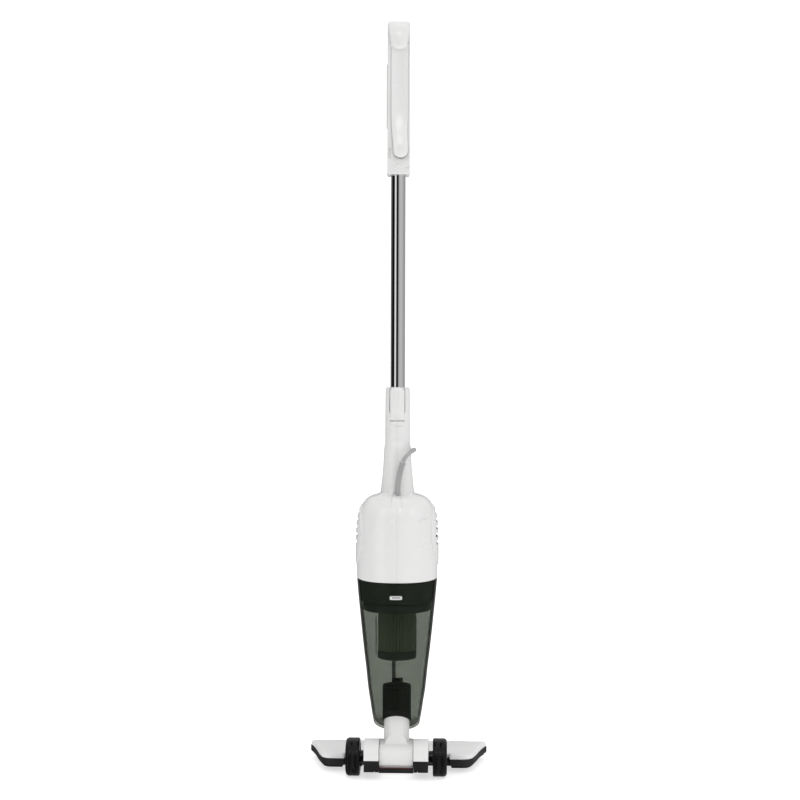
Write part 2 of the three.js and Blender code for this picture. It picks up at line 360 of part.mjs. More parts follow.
put("cord_hank", hank, "grey");
put("cord_tie", cut(sideSlab(tieOut, -6, 6), sideSlab(tieIn, -20, 20)), "black");
const LEAD = [[9.05, -33.4, 462.6], [11.6, -33.2, 468.2], [15.4, -31.6, 473.2], [20, -27.6, 477], [23.6, -21, 479.2], [24.9, -12, 479.8], [24.4, -2, 479.6], [22.8, 9, 479], [19.9, 20, 477], [16.8, 30, 472.6], [14.6, 39, 465], [13.2, 47, 453], [12.8, 53.6, 437], [13, 59.6, 415], [13.4, 64.2, 388], [13.4, 66.8, 350], [11, 67.8, 300], [4.6, 68.4, 250], [-3, 69.6, 205], [-7, 71.8, 160], [-6.6, 76.6, 122], [-3.2, 83.6, 92], [2, 92, 67], [6.6, 101.4, 48.4], [9.6, 111, 33.6], [12.6, 120.4, 23.6]];
put("mains_lead", tubeAlong(LEAD, CORD_R, 52, 8), "grey");
const PY = 163.9;
let plug = loft([[-33, 3.6, 3.6, 4], [-31, 4.2, 4.2, 4.6], [-15, 5.4, 5.4, 6], [-9, 9, 6.4, 6.6], [-3, 12.6, 6.9, 6.9], [13, 12.6, 6.9, 6.9], [15, 11.8, 6, 6.9]].map(([x, a, b, zc]) => ring(a, b, 0, 24, 2.6).map(([u, v]) => [x, PY + u, zc + v])));
plug = cut(plug, cylX(2.3, 7, 30, PY - 9.5, 6.9, 14), cylX(2.3, 7, 30, PY + 9.5, 6.9, 14));
put("plug_body", plug, "grey");
put("plug_pin_left", cylX(2, 7.4, 33, PY - 9.5, 6.9, 14), "steel");
put("plug_pin_right", cylX(2, 7.4, 33, PY + 9.5, 6.9, 14), "steel");

// filter, hung under the skirt
put("filter_frame", turned([[20, 244], [49.6, 244], [50.6, 256.4], [23.8, 256.4], [23.8, 263], [20, 263]], 28), "black");
const star = Array.from({ length: 72 }, (_, i) => { const r = i % 3 === 1 ? 28 : 25.2, t = (i / 72) * 2 * Math.PI; return [r * Math.cos(t), r * Math.sin(t)]; });
put("filter_pleats", cut(slab(star, 184.4, 243.6), cylZ(22.6, 150, 300, 0, 0, 24)), "filter");
put("filter_cap", turned([[0, 172], [27.4, 172], [28.6, 173.4], [28.6, 184], [24, 184], [24, 176], [0, 176]], 28), "black");

// ---------------------------------------------------------------- stand on the floor, centred on the object without its lead
group.updateMatrixWorld(true);
const bounds = new THREE.Box3();
for (const m of group.children) if (!cordNames.has(m.name)) bounds.expandByObject(m);
group.position.set(-(bounds.min.x + bounds.max.x) / 2, -(bounds.min.y + bounds.max.y) / 2, -bounds.min.z);
group.updateMatrixWorld(true);

export default group;
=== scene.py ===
import json
import math

import bmesh
import bpy
from mathutils import Matrix, Vector


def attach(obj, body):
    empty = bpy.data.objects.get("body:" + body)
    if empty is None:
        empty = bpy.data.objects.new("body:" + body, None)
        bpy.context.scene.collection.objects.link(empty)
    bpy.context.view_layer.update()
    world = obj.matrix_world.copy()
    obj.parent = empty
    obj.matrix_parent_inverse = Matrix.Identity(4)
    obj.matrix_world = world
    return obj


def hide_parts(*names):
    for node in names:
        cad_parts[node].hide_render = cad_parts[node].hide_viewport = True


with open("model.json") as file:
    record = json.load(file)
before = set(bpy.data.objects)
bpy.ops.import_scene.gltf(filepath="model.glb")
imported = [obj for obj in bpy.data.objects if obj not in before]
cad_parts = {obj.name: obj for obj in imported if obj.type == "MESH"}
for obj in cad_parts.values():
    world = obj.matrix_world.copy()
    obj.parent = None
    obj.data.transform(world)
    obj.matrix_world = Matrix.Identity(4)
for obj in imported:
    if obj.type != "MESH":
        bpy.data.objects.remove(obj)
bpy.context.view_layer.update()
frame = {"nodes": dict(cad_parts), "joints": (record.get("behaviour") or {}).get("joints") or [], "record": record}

# The drawing's own numbers are millimetres from the rod's axis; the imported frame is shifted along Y,
# and the neck's hinge says by how much.
JOINT = {j["name"]: j for j in frame["joints"]}
SY = JOINT["neck_tilt"]["pos_m"][1] + 0.008
PIVOT_Y, PIVOT_Z = -8.0, JOINT["neck_tilt"]["pos_m"][2] * 1000


def mm(p):
    return Vector((p[0] * 0.001, p[1] * 0.001 + SY, p[2] * 0.001))


# ---------------------------------------------------------------- camera
TURN = math.radians(1.72)
BACK = Vector((math.sin(TURN), -math.cos(TURN), 0))
RIGHT = Vector((math.cos(TURN), math.sin(TURN), 0))
cam = bpy.data.objects.new("camera", bpy.data.cameras.new("camera"))
bpy.context.scene.collection.objects.link(cam)
cam.data.sensor_width = 36
cam.data.lens = 63.94
cam.data.clip_start, cam.data.clip_end = 0.05, 60
cam.location = Vector((0, SY, 0.553)) + BACK * 2.1 + RIGHT * 0.0034
cam.rotation_euler = (Matrix.Rotation(TURN, 3, 'Z') @ Matrix.Rotation(math.pi / 2, 3, 'X') @ Matrix.Rotation(0.0030, 3, 'Z')).to_euler()
bpy.context.scene.camera = cam


# ---------------------------------------------------------------- node materials
def node(nt, kind, **values):
    n = nt.nodes.new(kind)
    for k, v in values.items():
        if k.startswith("in_"):
            n.inputs[k[3:].replace("_", " ")].default_value = v
        else:
            setattr(n, k, v)
    return n


def material(name):
    m = bpy.data.materials.new(name)
    m.use_nodes = True
    nt = m.node_tree
    nt.nodes.clear()
    out = node(nt, "ShaderNodeOutputMaterial")
    bsdf = node(nt, "ShaderNodeBsdfPrincipled")
    nt.links.new(bsdf.outputs[0], out.inputs[0])
    return m, nt, bsdf, out


def noise(nt, scale, detail=3.0, stretch=None, rough=0.5):
    tc = node(nt, "ShaderNodeTexCoord")
    n = node(nt, "ShaderNodeTexNoise")
    n.inputs["Scale"].default_value = scale
    n.inputs["Detail"].default_value = detail
    n.inputs["Roughness"].default_value = rough
    if stretch:
        mp = node(nt, "ShaderNodeMapping")
        mp.inputs["Scale"].default_value = stretch
        nt.links.new(tc.outputs["Object"], mp.inputs["Vector"])
        nt.links.new(mp.outputs[0], n.inputs["Vector"])
    else:
        nt.links.new(tc.outputs["Object"], n.inputs["Vector"])
    return n.outputs["Fac"]


def ramp(nt, fac, stops):
    r = node(nt, "ShaderNodeValToRGB")
    e = r.color_ramp.elements
    while len(e) < len(stops):
        e.new(0.5)
    for i, (pos, col) in enumerate(stops):
        e[i].position = pos
        e[i].color = (*col, 1) if len(col) == 3 else col
    nt.links.new(fac, r.inputs[0])
    return r.outputs[0]


def to_range(nt, fac, lo, hi, a=0.3, b=0.7):
    r = node(nt, "ShaderNodeMapRange")
    r.inputs["From Min"].default_value, r.inputs["From Max"].default_value = a, b
    r.inputs["To Min"].default_value, r.inputs["To Max"].default_value = lo, hi
    nt.links.new(fac, r.inputs["Value"])
    return r.outputs[0]


def bump(nt, bsdf, *layers):
    """layers: (height socket, strength, distance)"""
    last = None
    for h, strength, dist in layers:
        b = node(nt, "ShaderNodeBump")
        b.inputs["Strength"].default_value = strength
        b.inputs["Distance"].default_value = dist
        nt.links.new(h, b.inputs["Height"])
        if last is not None:
            nt.links.new(last, b.inputs["Normal"])
        last = b.outputs[0]
    nt.links.new(last, bsdf.inputs["Normal"])


def moulded(name, colour, rough, var=0.025, rvar=0.05, scale=26, grain=0.15, grain_scale=2600, wave=0.0, coat=0.0, metallic=0.0, ior=1.47, spec=0.5):
    m, nt, b, _ = material(name)
    lo = tuple(max(0, c * (1 - var)) for c in colour)
    hi = tuple(min(1, c * (1 + var)) for c in colour)
    nt.links.new(ramp(nt, noise(nt, scale, 4), [(0.3, lo), (0.7, hi)]), b.inputs["Base Color"])
    nt.links.new(to_range(nt, noise(nt, scale * 5, 5), rough - rvar, rough + rvar), b.inputs["Roughness"])
    b.inputs["Metallic"].default_value = metallic
    b.inputs["IOR"].default_value = ior
    b.inputs["Coat Weight"].default_value = coat
    b.inputs["Specular IOR Level"].default_value = spec
    layers = [(noise(nt, grain_scale, 2), grain, 0.00006)]
    if wave:
        layers.append((noise(nt, 45, 2), wave, 0.0006))
    bump(nt, b, *layers)
    return m


M = {}
M["white"] = moulded("white_abs", (0.825, 0.825, 0.819), 0.36, var=0.006, grain=0.08, wave=0.015, coat=0.08)
M["white_gloss"] = moulded("white_abs_gloss", (0.795, 0.795, 0.789), 0.25, rvar=0.03, var=0.006, grain=0.05, wave=0.015, coat=0.3)
M["black"] = moulded("black_abs", (0.013, 0.0135, 0.0135), 0.44, var=0.18, rvar=0.08, grain=0.3, grain_scale=1800, spec=0.28)
M["black_gloss"] = moulded("black_abs_gloss", (0.009, 0.0095, 0.0095), 0.2, var=0.2, rvar=0.05, grain=0.08, spec=0.3)
M["tyre"] = moulded("tyre_pvc", (0.006, 0.0062, 0.0062), 0.2, var=0.25, rvar=0.06, grain=0.12, grain_scale=1500, spec=0.16)
M["rubber"] = moulded("soft_black_rubber", (0.016, 0.0165, 0.0165), 0.55, var=0.2, rvar=0.08, grain=0.5, grain_scale=1400, spec=0.3)
# this grey is the real colour of the buttons, and is also used as painted shade on the handle's edge strip and inside
# the catch's recess
M["grey"] = moulded("grey_button_and_painted_shade", (0.40, 0.40, 0.41), 0.48, var=0.03, grain=0.25, grain_scale=1800)
M["cord"] = moulded("cord_jacket", (0.385, 0.385, 0.385), 0.5, var=0.05, rvar=0.07, grain=0.35, grain_scale=900)
M["relief"] = moulded("strain_relief_pvc", (0.36, 0.36, 0.36), 0.52, var=0.05, rvar=0.07, grain=0.4, grain_scale=1200)
M["copper"] = moulded("wound_copper", (0.42, 0.2, 0.1), 0.4, var=0.3, scale=160, grain=0.5, grain_scale=900, metallic=0.7)


def brushed(name, colour, rough, stretch, amount=0.25):
    m, nt, b, _ = material(name)
    b.inputs["Metallic"].default_value = 1.0
    streak = noise(nt, 900, 3, stretch)
    nt.links.new(ramp(nt, streak, [(0.3, tuple(c * 0.95 for c in colour)), (0.7, colour)]), b.inputs["Base Color"])
    nt.links.new(to_range(nt, streak, rough * 0.8, rough * 1.25), b.inputs["Roughness"])
    bump(nt, b, (noise(nt, 700, 2, stretch), amount, 0.00002))
    return m


M["chrome"] = brushed("polished_steel_tube", (0.74, 0.74, 0.75), 0.08, (1, 1, 0.012), 0.03)
M["steel"] = brushed("plain_steel", (0.62, 0.62, 0.62), 0.3, (1, 1, 1), 0.2)


def paper():
    m, nt, b, _ = material("pleated_paper")
    nt.links.new(ramp(nt, noise(nt, 900, 5), [(0.3, (0.26, 0.30, 0.22)), (0.7, (0.36, 0.40, 0.30))]), b.inputs["Base Color"])
    b.inputs["Roughness"].default_value = 0.85
    bump(nt, b, (noise(nt, 1600, 4), 0.6, 0.0002))
    return m


M["paper"] = paper()


def bristles():
    m, nt, b, _ = material("nylon_bristle")
    hairs = noise(nt, 1500, 3, (1, 1, 0.06))
    nt.links.new(ramp(nt, hairs, [(0.35, (0.006, 0.006, 0.006)), (0.65, (0.05, 0.05, 0.05))]), b.inputs["Base Color"])
    nt.links.new(to_range(nt, hairs, 0.45, 0.75), b.inputs["Roughness"])
    bump(nt, b, (hairs, 0.9, 0.0006))
    return m


M["bristle"] = bristles()


def smoke(name, tint, haze, mirror):
    """Tinted clear plastic: what passes is tinted at each surface, with a thin glossy film on top."""
    m, nt, b, out = material(name)
    nt.links.new(ramp(nt, noise(nt, 30, 3), [(0.3, tuple(c * 0.9 for c in haze)), (0.7, haze)]), b.inputs["Base Color"])
    nt.links.new(to_range(nt, noise(nt, 120, 4), 0.06, 0.12), b.inputs["Roughness"])
    b.inputs["IOR"].default_value = 1.5
    clear = node(nt, "ShaderNodeBsdfTransparent")
    edge = node(nt, "ShaderNodeLayerWeight")
    edge.inputs["Blend"].default_value = 0.5
    dark = tuple(c * 0.5 for c in tint)
    darker = tuple(c * 0.24 for c in tint)
    edge_dark = tuple(c * 0.08 for c in tint)
    nt.links.new(ramp(nt, edge.outputs["Facing"], [(0.0, tint), (0.62, tint), (0.73, dark), (0.9, darker), (1.0, edge_dark)]), clear.inputs["Color"])
    mix = node(nt, "ShaderNodeMixShader")
    g3 = lambda v: (v, v, v)
    nt.links.new(ramp(nt, edge.outputs["Facing"], [(0.0, g3(mirror)), (0.6, g3(mirror * 1.2)), (0.88, g3(0.07)), (1.0, g3(0.16))]), mix.inputs[0])
    nt.links.new(clear.outputs[0], mix.inputs[1])
    nt.links.new(b.outputs[0], mix.inputs[2])
    nt.links.new(mix.outputs[0], out.inputs[0])
    return m


M["smoke"] = smoke("smoked_clear_plastic", (0.600, 0.615, 0.587), (0.062, 0.068, 0.058), 0.045)
M["duct"] = moulded("inlet_duct_abs", (0.034, 0.042, 0.034), 0.4, var=0.1, rvar=0.06, grain=0.2, grain_scale=1600, spec=0.3)
M["frame"] = moulded("filter_frame_abs", (0.095, 0.115, 0.095), 0.5, var=0.1, rvar=0.06, grain=0.2, grain_scale=1600, spec=0.3)


# ---------------------------------------------------------------- mesh tools (millimetres in, metres out)
def finish_mesh(name, bm, mat, angle=35):
    bmesh.ops.remove_doubles(bm, verts=bm.verts, dist=1e-7)
    bmesh.ops.recalc_face_normals(bm, faces=bm.faces)
    me = bpy.data.meshes.new(name)
    bm.to_mesh(me)
    bm.free()
    o = bpy.data.objects.new(name, me)
    bpy.context.scene.collection.objects.link(o)
    if mat is not None:
        me.materials.append(M[mat] if isinstance(mat, str) else mat)
    me.shade_smooth()
    me.set_sharp_from_angle(angle=math.radians(angle))
    return o


def loft(name, rings, mat, caps=(True, True), angle=35, closed=False):
    bm = bmesh.new()
    vs = [[bm.verts.new(mm(p)) for p in r] for r in rings]
    n = len(rings[0])
    pairs = list(zip(vs[:-1], vs[1:])) + ([(vs[-1], vs[0])] if closed else [])
    for a, b in pairs:
        for i in range(n):
            j = (i + 1) % n
            bm.faces.new((a[i], a[j], b[j], b[i]))
    if caps[0]:
        bm.faces.new(vs[0][::-1])
    if caps[1]:
        bm.faces.new(vs[-1])
    return finish_mesh(name, bm, mat, angle)


def turned(name, profile, mat, x=0.0, y=0.0, z=0.0, axis="Z", seg=96, angle=35, closed=True):
    """profile of (radius, along) pairs, turned about the axis through (x, y, z)."""
    rings = []
    for i in range(seg):
        t = 2 * math.pi * i / seg
        ring = []
        for r, a in profile:
            u, v = r * math.cos(t), r * math.sin(t)
            ring.append({"Z": (x + u, y + v, z + a), "X": (x + a, y + u, z + v), "Y": (x + v, y + a, z + u)}[axis])
        rings.append(ring)
    bm = bmesh.new()
    vs = [[bm.verts.new(mm(p)) for p in r] for r in rings]
    m = len(profile)
    for i in range(seg):
        a, b = vs[i], vs[(i + 1) % seg]
        for k in range(m if closed else m - 1):
            k2 = (k + 1) % m
            if abs(profile[k][0]) < 1e-9 and abs(profile[k2][0]) < 1e-9:
                continue
            try:
                bm.faces.new((a[k], a[k2], b[k2], b[k]))
            except ValueError:
                pass
    bmesh.ops.remove_doubles(bm, verts=bm.verts, dist=1e-7)
    bmesh.ops.dissolve_degenerate(bm, edges=bm.edges, dist=1e-8)
    return finish_mesh(name, bm, mat, angle)


def prism(name, outline, a, b, axis, mat, angle=35):
    """outline of (u, v): for axis X it is (y, z), for Y it is (x, z), for Z it is (x, y)."""
    place = {"X": lambda u, v, w: (w, u, v), "Y": lambda u, v, w: (u, w, v), "Z": lambda u, v, w: (u, v, w)}[axis]
    bm = bmesh.new()
    lo = [bm.verts.new(mm(place(u, v, a))) for u, v in outline]
    hi = [bm.verts.new(mm(place(u, v, b))) for u, v in outline]
    n = len(outline)
    for i in range(n):
        j = (i + 1) % n
        bm.faces.new((lo[i], lo[j], hi[j], hi[i]))
    bm.faces.new(lo[::-1])
    bm.faces.new(hi)
    return finish_mesh(name, bm, mat, angle)


def block(name, x0, x1, y0, y1, z0, z1, mat=None):
    return prism(name, [(x0, y0), (x1, y0), (x1, y1), (x0, y1)], z0, z1, "Z", mat)


def rounded(pts, r, steps=6):
    out = []
    n = len(pts)
    for i, p in enumerate(pts):
        a, b = Vector(pts[i - 1]), Vector(pts[(i + 1) % n])
        p = Vector(p)
        rr = r[i] if isinstance(r, (list, tuple)) else r
        u, v = a - p, b - p
        d = min(rr, u.length / 2.02, v.length / 2.02)
        if d < 0.01:
            out.append(tuple(p))
            continue
        u, v = u.normalized() * d, v.normalized() * d
        for k in range(steps + 1):
            t = k / steps
            q = p + u * (1 - t) ** 2 + v * t * t
            out.append((q.x, q.y))
    return out


def settle(o):
    """Applies the modifiers."""
    dg = bpy.context.evaluated_depsgraph_get()
    dg.update()
    me = bpy.data.meshes.new_from_object(o.evaluated_get(dg))
    old = o.data
    o.modifiers.clear()
    o.data = me
    me.name = o.name
    bpy.data.meshes.remove(old)
    return o


def combine(o, others, how="DIFFERENCE", angle=35):
    others = others if isinstance(others, (list, tuple)) else [others]
    for c in others:
        m = o.modifiers.new("b", "BOOLEAN")
        m.operation = how
        m.solver = "EXACT"
        m.object = c
    settle(o)
    for c in others:
        bpy.data.objects.remove(c)
    o.data.shade_smooth()
    o.data.set_sharp_from_angle(angle=math.radians(angle))
    return o


def bevel(o, width, segments=3, angle=40, apply=True):
    m = o.modifiers.new("bevel", "BEVEL")
    m.width = width * 0.001
    m.segments = segments
    m.limit_method = "ANGLE"
    m.angle_limit = math.radians(angle)
    m.miter_outer = "MITER_ARC"
    m.use_clamp_overlap = True
    if apply:
        settle(o)
        o.data.shade_smooth()
        o.data.set_sharp_from_angle(angle=math.radians(35))
    return o


def copy_of(o, name="tmp"):
    c = o.copy()
    c.data = o.data.copy()
    c.name = name
    bpy.context.scene.collection.objects.link(c)
    return c


def ellipse(a, b, n, seg, z, cx=0.0, cy=0.0, tilt=0.0):
    out = []
    for i in range(seg):
        t = 2 * math.pi * i / seg
        c, s = math.cos(t), math.sin(t)
        x = a * math.copysign(abs(c) ** (2 / n), c)
        y = b * math.copysign(abs(s) ** (2 / n), s)
        out.append((cx + x, cy + y, z + tilt * y))
    return out


def catmull(points, per=8, closed=False):
    """Centripetal Catmull-Rom through the points."""
    p = [Vector(q) for q in points]
    if not closed:
        p = [p[0] * 2 - p[1]] + p + [p[-1] * 2 - p[-2]]
    out = []
    count = len(p) - 3 if not closed else len(p)
    for i in range(count):
        a, b, c, d = (p[(i + k) % len(p)] for k in range(4))
        t0 = 0.0
        t1 = t0 + max(1e-6, (b - a).length) ** 0.5
        t2 = t1 + max(1e-6, (c - b).length) ** 0.5
        t3 = t2 + max(1e-6, (d - c).length) ** 0.5
        for k in range(per):
            t = t1 + (t2 - t1) * k / per
            a1 = a * ((t1 - t) / (t1 - t0)) + b * ((t - t0) / (t1 - t0))
            a2 = b * ((t2 - t) / (t2 - t1)) + c * ((t - t1) / (t2 - t1))
            a3 = c * ((t3 - t) / (t3 - t2)) + d * ((t - t2) / (t3 - t2))
            b1 = a1 * ((t2 - t) / (t2 - t0)) + a2 * ((t - t0) / (t2 - t0))
            b2 = a2 * ((t3 - t) / (t3 - t1)) + a3 * ((t - t1) / (t3 - t1))
            out.append(b1 * ((t2 - t) / (t2 - t1)) + b2 * ((t - t1) / (t2 - t1)))
    if not closed:
        out.append(p[-2])
    return out


def piece(o, body, slot, *nodes):
    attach(o, body)
    if nodes:
        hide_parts(*nodes)
    return o


# ---------------------------------------------------------------- the mains lead and its hank
CORD_R = 3.0
LEAD = [[9.05, -33.4, 462.6], [11.6, -33.2, 468.2], [15.4, -31.6, 473.2], [20, -27.6, 477], [23.6, -21, 479.2], [24.9, -12, 479.8], [24.4, -2, 479.6], [22.8, 9, 479], [19.9, 20, 477], [16.8, 30, 472.6], [14.6, 39, 465], [13.2, 47, 453], [12.8, 53.6, 437], [13, 59.6, 415], [13.4, 64.2, 388], [13.4, 66.8, 350], [11, 67.8, 300], [4.6, 68.4, 250], [-3, 69.6, 205], [-7, 71.8, 160], [-6.6, 76.6, 122], [-3.2, 83.6, 92], [2, 92, 67], [6.6, 101.4, 48.4], [9.6, 111, 33.6], [12.6, 120.4, 23.6]]
ENTRY = [[22, 128.5, 18.8], [33, 134.5, 16.0], [45, 139.4, 13.4], [57, 144.8, 9.6], [67, 149.6, 5.8], [75, 152.7, 3.7]]
NEAR = [(119.9, 3), (119.9, 9), (113.9, 3), (113.9, 9), (113.9, 15), (107.9, 3), (107.9, 9), (107.9, 15)]
FAR = [(153.6, 3), (153.6, 9), (159.6, 3), (159.6, 9), (165.6, 3), (171.6, 3), (177.6, 3), (183.6, 3)]
MID = [(127.9, 3), (127.9, 9), (133.9, 3), (133.9, 9), (139.9, 3), (139.9, 9), (145.9, 3)]
OUT = [0, 0, 0, 0, 4, 4, 7, 10]
RUN = 82.0


def smooth(t):
    t = min(1.0, max(0.0, t))
    return t * t * (3 - 2 * t)


def ease(x, flat, end):
    """1 up to flat, falling smoothly to 0 at end."""
    t = (abs(x) - flat) / (end - flat)
    return 1.0 if t <= 0 else 0.0 if t >= 1 else 0.5 * (1 + math.cos(math.pi * t))


def hank_points():
    pts = []
    for i in range(8):
        (ny, nz), (fy, fz) = NEAR[i], FAR[i]
        cx, cy, r = RUN + OUT[i], (ny + fy) / 2, (fy - ny) / 2
        for k in range(0, 13):  # right fold, far side to near side
            a = math.pi / 2 - math.pi * k / 12
            pts.append([cx + r * math.cos(a), cy + r * math.sin(a), fz + (nz - fz) * smooth(k / 12)])
        for k in range(1, 12):  # near run, towards -x
            x = cx - 2 * cx * k / 12
            pts.append([x, ny + 2.0 * ease(x, 10, 60), nz])
        for k in range(0, 13):  # left fold
            a = -math.pi / 2 - math.pi * k / 12
            pts.append([-cx + r * math.cos(a), cy + r * math.sin(a), nz + (fz - nz) * smooth(k / 12)])
        if i < 7:  # far run, towards +x, into the next slot
            (my, mz), (gy, gz) = MID[i], FAR[i + 1]
            end = RUN + OUT[i + 1]
            for k in range(1, 18):
                x = -cx + (cx + end) * k / 18
                w = ease(x, 34, cx if x < 0 else end)
                wz = ease(x, 60, cx if x < 0 else end)
                ey, ez = (fy, fz) if x < 0 else (gy, gz)
                pts.append([x, ey + (my - ey) * w, ez + (mz - ez) * wz])
        else:
            pts += [[-78, 182.0, 3], [-63, 176.0, 3.1], [-49, 168.4, 3.5], [-40, 165.0, 3.9], [-33.6, 163.9, 4.0]]
    return pts


route = catmull(LEAD + ENTRY + hank_points(), 3)
lead_curve = bpy.data.curves.new("lead", "CURVE")
lead_curve.dimensions = "3D"
lead_curve.bevel_depth = CORD_R * 0.001
lead_curve.bevel_resolution = 5
lead_curve.use_fill_caps = True
sp = lead_curve.splines.new("POLY")
sp.points.add(len(route) - 1)
for q, p in zip(sp.points, route):
    q.co = (*mm(p), 1)
sp.use_smooth = True
lead_curve.materials.append(M["cord"])
lead = bpy.data.objects.new("lead", lead_curve)
bpy.context.scene.collection.objects.link(lead)
piece(lead, "motor_unit", "cord_grey", "mains_lead", "cord_hank")

# plug
PY = 163.9
plug = loft("plug", [[(x, PY + u, zc + v) for u, v, _ in ellipse(a, b, 2.6, 48, 0)] for x, a, b, zc in [(-33, 3.4, 3.4, 4), (-32, 4.0, 4.0, 4.2), (-29.4, 4.3, 4.3, 4.5), (-29, 3.7, 3.7, 4.5), (-27.8, 3.7, 3.7, 4.6), (-27.4, 4.5, 4.5, 4.8), (-25.2, 4.7, 4.7, 5.0), (-24.8, 4.0, 4.0, 5.0), (-23.6, 4.0, 4.0, 5.1), (-23.2, 4.9, 4.9, 5.2), (-21, 5.0, 5.0, 5.4), (-20.6, 4.4, 4.4, 5.4), (-19.4, 4.4, 4.4, 5.6), (-19, 5.2, 5.2, 5.7), (-15, 5.5, 5.5, 6), (-12, 6.8, 5.9, 6.3), (-9, 9, 6.4, 6.6), (-6, 11.2, 6.8, 6.8), (-3, 12.4, 6.9, 6.9), (0, 12.6, 6.9, 6.9), (12.6, 12.6, 6.9, 6.9), (14, 12.3, 6.6, 6.9), (14.8, 11.9, 6.2, 6.9), (15, 11.5, 5.8, 6.9)]], "relief", angle=50)
piece(plug, "motor_unit", "cord_grey", "plug_body")
for side, s in (("left", -1), ("right", 1)):
    pin = turned("plug_prong_" + side, [(0, 14.8), (2, 14.8), (2, 31.6), (1.8, 32.4), (1.3, 32.9), (0, 33)], "steel", 0, PY + s * 9.5, 6.9, "X", 32)
    piece(pin, "motor_unit", "plain_steel", "plug_pin_" + side)
tie_out = [(105.4, 0.4), (106.2, 0.1), (149.4, 0.1), (150.4, 1.2), (150.4, 12.6), (149.6, 13.4), (144, 13.9), (130, 17.6), (124, 19.0), (120, 19.3), (106.6, 19.3), (105.5, 18.4)]
tie = prism("hank_tie", rounded(tie_out, 1.4), -6, 6, "X", "black")
tie = combine(tie, prism("c", rounded([(106.5, 1.1), (149.2, 1.1), (149.2, 12.4), (143.6, 12.8), (129.6, 16.5), (123.6, 18.0), (106.5, 18.2)], 1.2), -9, 9, "X", None))
tie = bevel(tie, 0.35, 2)
piece(tie, "motor_unit", "black_plastic", "cord_tie")

# ---------------------------------------------------------------- studio
def studio_world():
    w = bpy.data.worlds.new("studio")
    bpy.context.scene.world = w
    w.use_nodes = True
    nt = w.node_tree
    nt.nodes.clear()
    out = node(nt, "ShaderNodeOutputWorld")
    bg = node(nt, "ShaderNodeBackground")
    tc = node(nt, "ShaderNodeTexCoord")
    sep = node(nt, "ShaderNodeSeparateXYZ")
    nt.links.new(tc.outputs["Generated"], sep.inputs[0])
    neg = node(nt, "ShaderNodeMath", operation="MULTIPLY")
    neg.inputs[1].default_value = -1
    nt.links.new(sep.outputs["Y"], neg.inputs[0])
    az = node(nt, "ShaderNodeMath", operation="ARCTAN2")
    nt.links.new(sep.outputs["X"], az.inputs[0])
    nt.links.new(neg.outputs[0], az.inputs[1])
    u = to_range(nt, az.outputs[0], 0.0, 1.0, -math.pi, math.pi)

    def deg(a):
        return (a + 180) / 360

    g = lambda v: (v, v, v)
    walls = ramp(nt, u, [(0.0, g(0.30)), (deg(-140), g(0.22)), (deg(-112), g(0.12)), (deg(-98), g(0.005)), (deg(-58), g(0.005)), (deg(-49), g(1.0)), (deg(-33), g(1.0)), (deg(-22), g(0.005)), (deg(2), g(0.02)), (deg(18), g(0.58)), (deg(60), g(0.64)), (deg(105), g(0.42)), (deg(150), g(0.42)), (1.0, g(0.30))])
    up = to_range(nt, sep.outputs["Z"], 0.0, 1.0, 0.24, 0.60)
    mix = node(nt, "ShaderNodeMix", data_type="RGBA")
    nt.links.new(up, mix.inputs[0])
    nt.links.new(walls, mix.inputs[6])
    mix.inputs[7].default_value = (1.0, 1.0, 1.0, 1)
    lp = node(nt, "ShaderNodeLightPath")
    mix2 = node(nt, "ShaderNodeMix", data_type="RGBA")
    nt.links.new(lp.outputs["Is Camera Ray"], mix2.inputs[0])
    nt.links.new(mix.outputs[2], mix2.inputs[6])
    mix2.inputs[7].default_value = (1.0, 1.0, 1.0, 1)
    nt.links.new(mix2.outputs[2], bg.inputs[0])
    bg.inputs[1].default_value = 1.0
    nt.links.new(bg.outputs[0], out.inputs[0])


studio_world()


def lamp(name, at, look, size, power, size_y=None):
    d = bpy.data.lights.new(name, "AREA")
    d.shape = "RECTANGLE"
    d.size, d.size_y = size, size_y or size
    d.energy = power
    o = bpy.data.objects.new(name, d)
    bpy.context.scene.collection.objects.link(o)
    o.location = at
    o.rotation_mode = "QUATERNION"
    o.rotation_quaternion = (Vector(look) - Vector(at)).to_track_quat("-Z", "Y")
    o.visible_camera = False
    return o


lamp("softbox_left", (-1.5, -1.9, 1.75), (0, 0, 0.45), 0.5, 2.2, 0.8)
lamp("softbox_right", (1.7, -1.7, 1.75), (0, 0, 0.45), 0.6, 2.4, 0.9)
lamp("softbox_front", (0.1, -2.3, 2.3), (0, 0, 0.5), 0.5, 3.2)
lamp("softbox_top", (0.1, -0.3, 2.6), (0, 0, 0.3), 1.2, 2.5)


def floor_material():
    m, nt, b, out = material("studio_floor")
    nt.links.new(ramp(nt, noise(nt, 3, 2), [(0.3, (0.60, 0.60, 0.60)), (0.7, (0.62, 0.62, 0.62))]), b.inputs["Base Color"])
    b.inputs["Roughness"].default_value = 0.8
    b.inputs["Emission Color"].default_value = (1, 1, 1, 1)
    b.inputs["Emission Strength"].default_value = 0.62
    return m


def floor():
    bm = bmesh.new()
    prof = [(-6.0, 0.0), (3.4, 0.0)] + [(3.4 + 1.2 * math.sin(t * math.pi / 20), 1.2 - 1.2 * math.cos(t * math.pi / 20)) for t in range(1, 11)] + [(4.6, 6.0)]
    rows = [[bm.verts.new((x, y, z)) for y, z in prof] for x in (-7, 7)]
    for k in range(len(prof) - 1):
        bm.faces.new((rows[0][k], rows[1][k], rows[1][k + 1], rows[0][k + 1]))
    o = finish_mesh("studio_floor", bm, floor_material(), 60)
    o.visible_glossy = False
    return o


floor()
bpy.context.scene.view_settings.view_transform = "Standard"
bpy.context.scene.view_settings.look = "None"


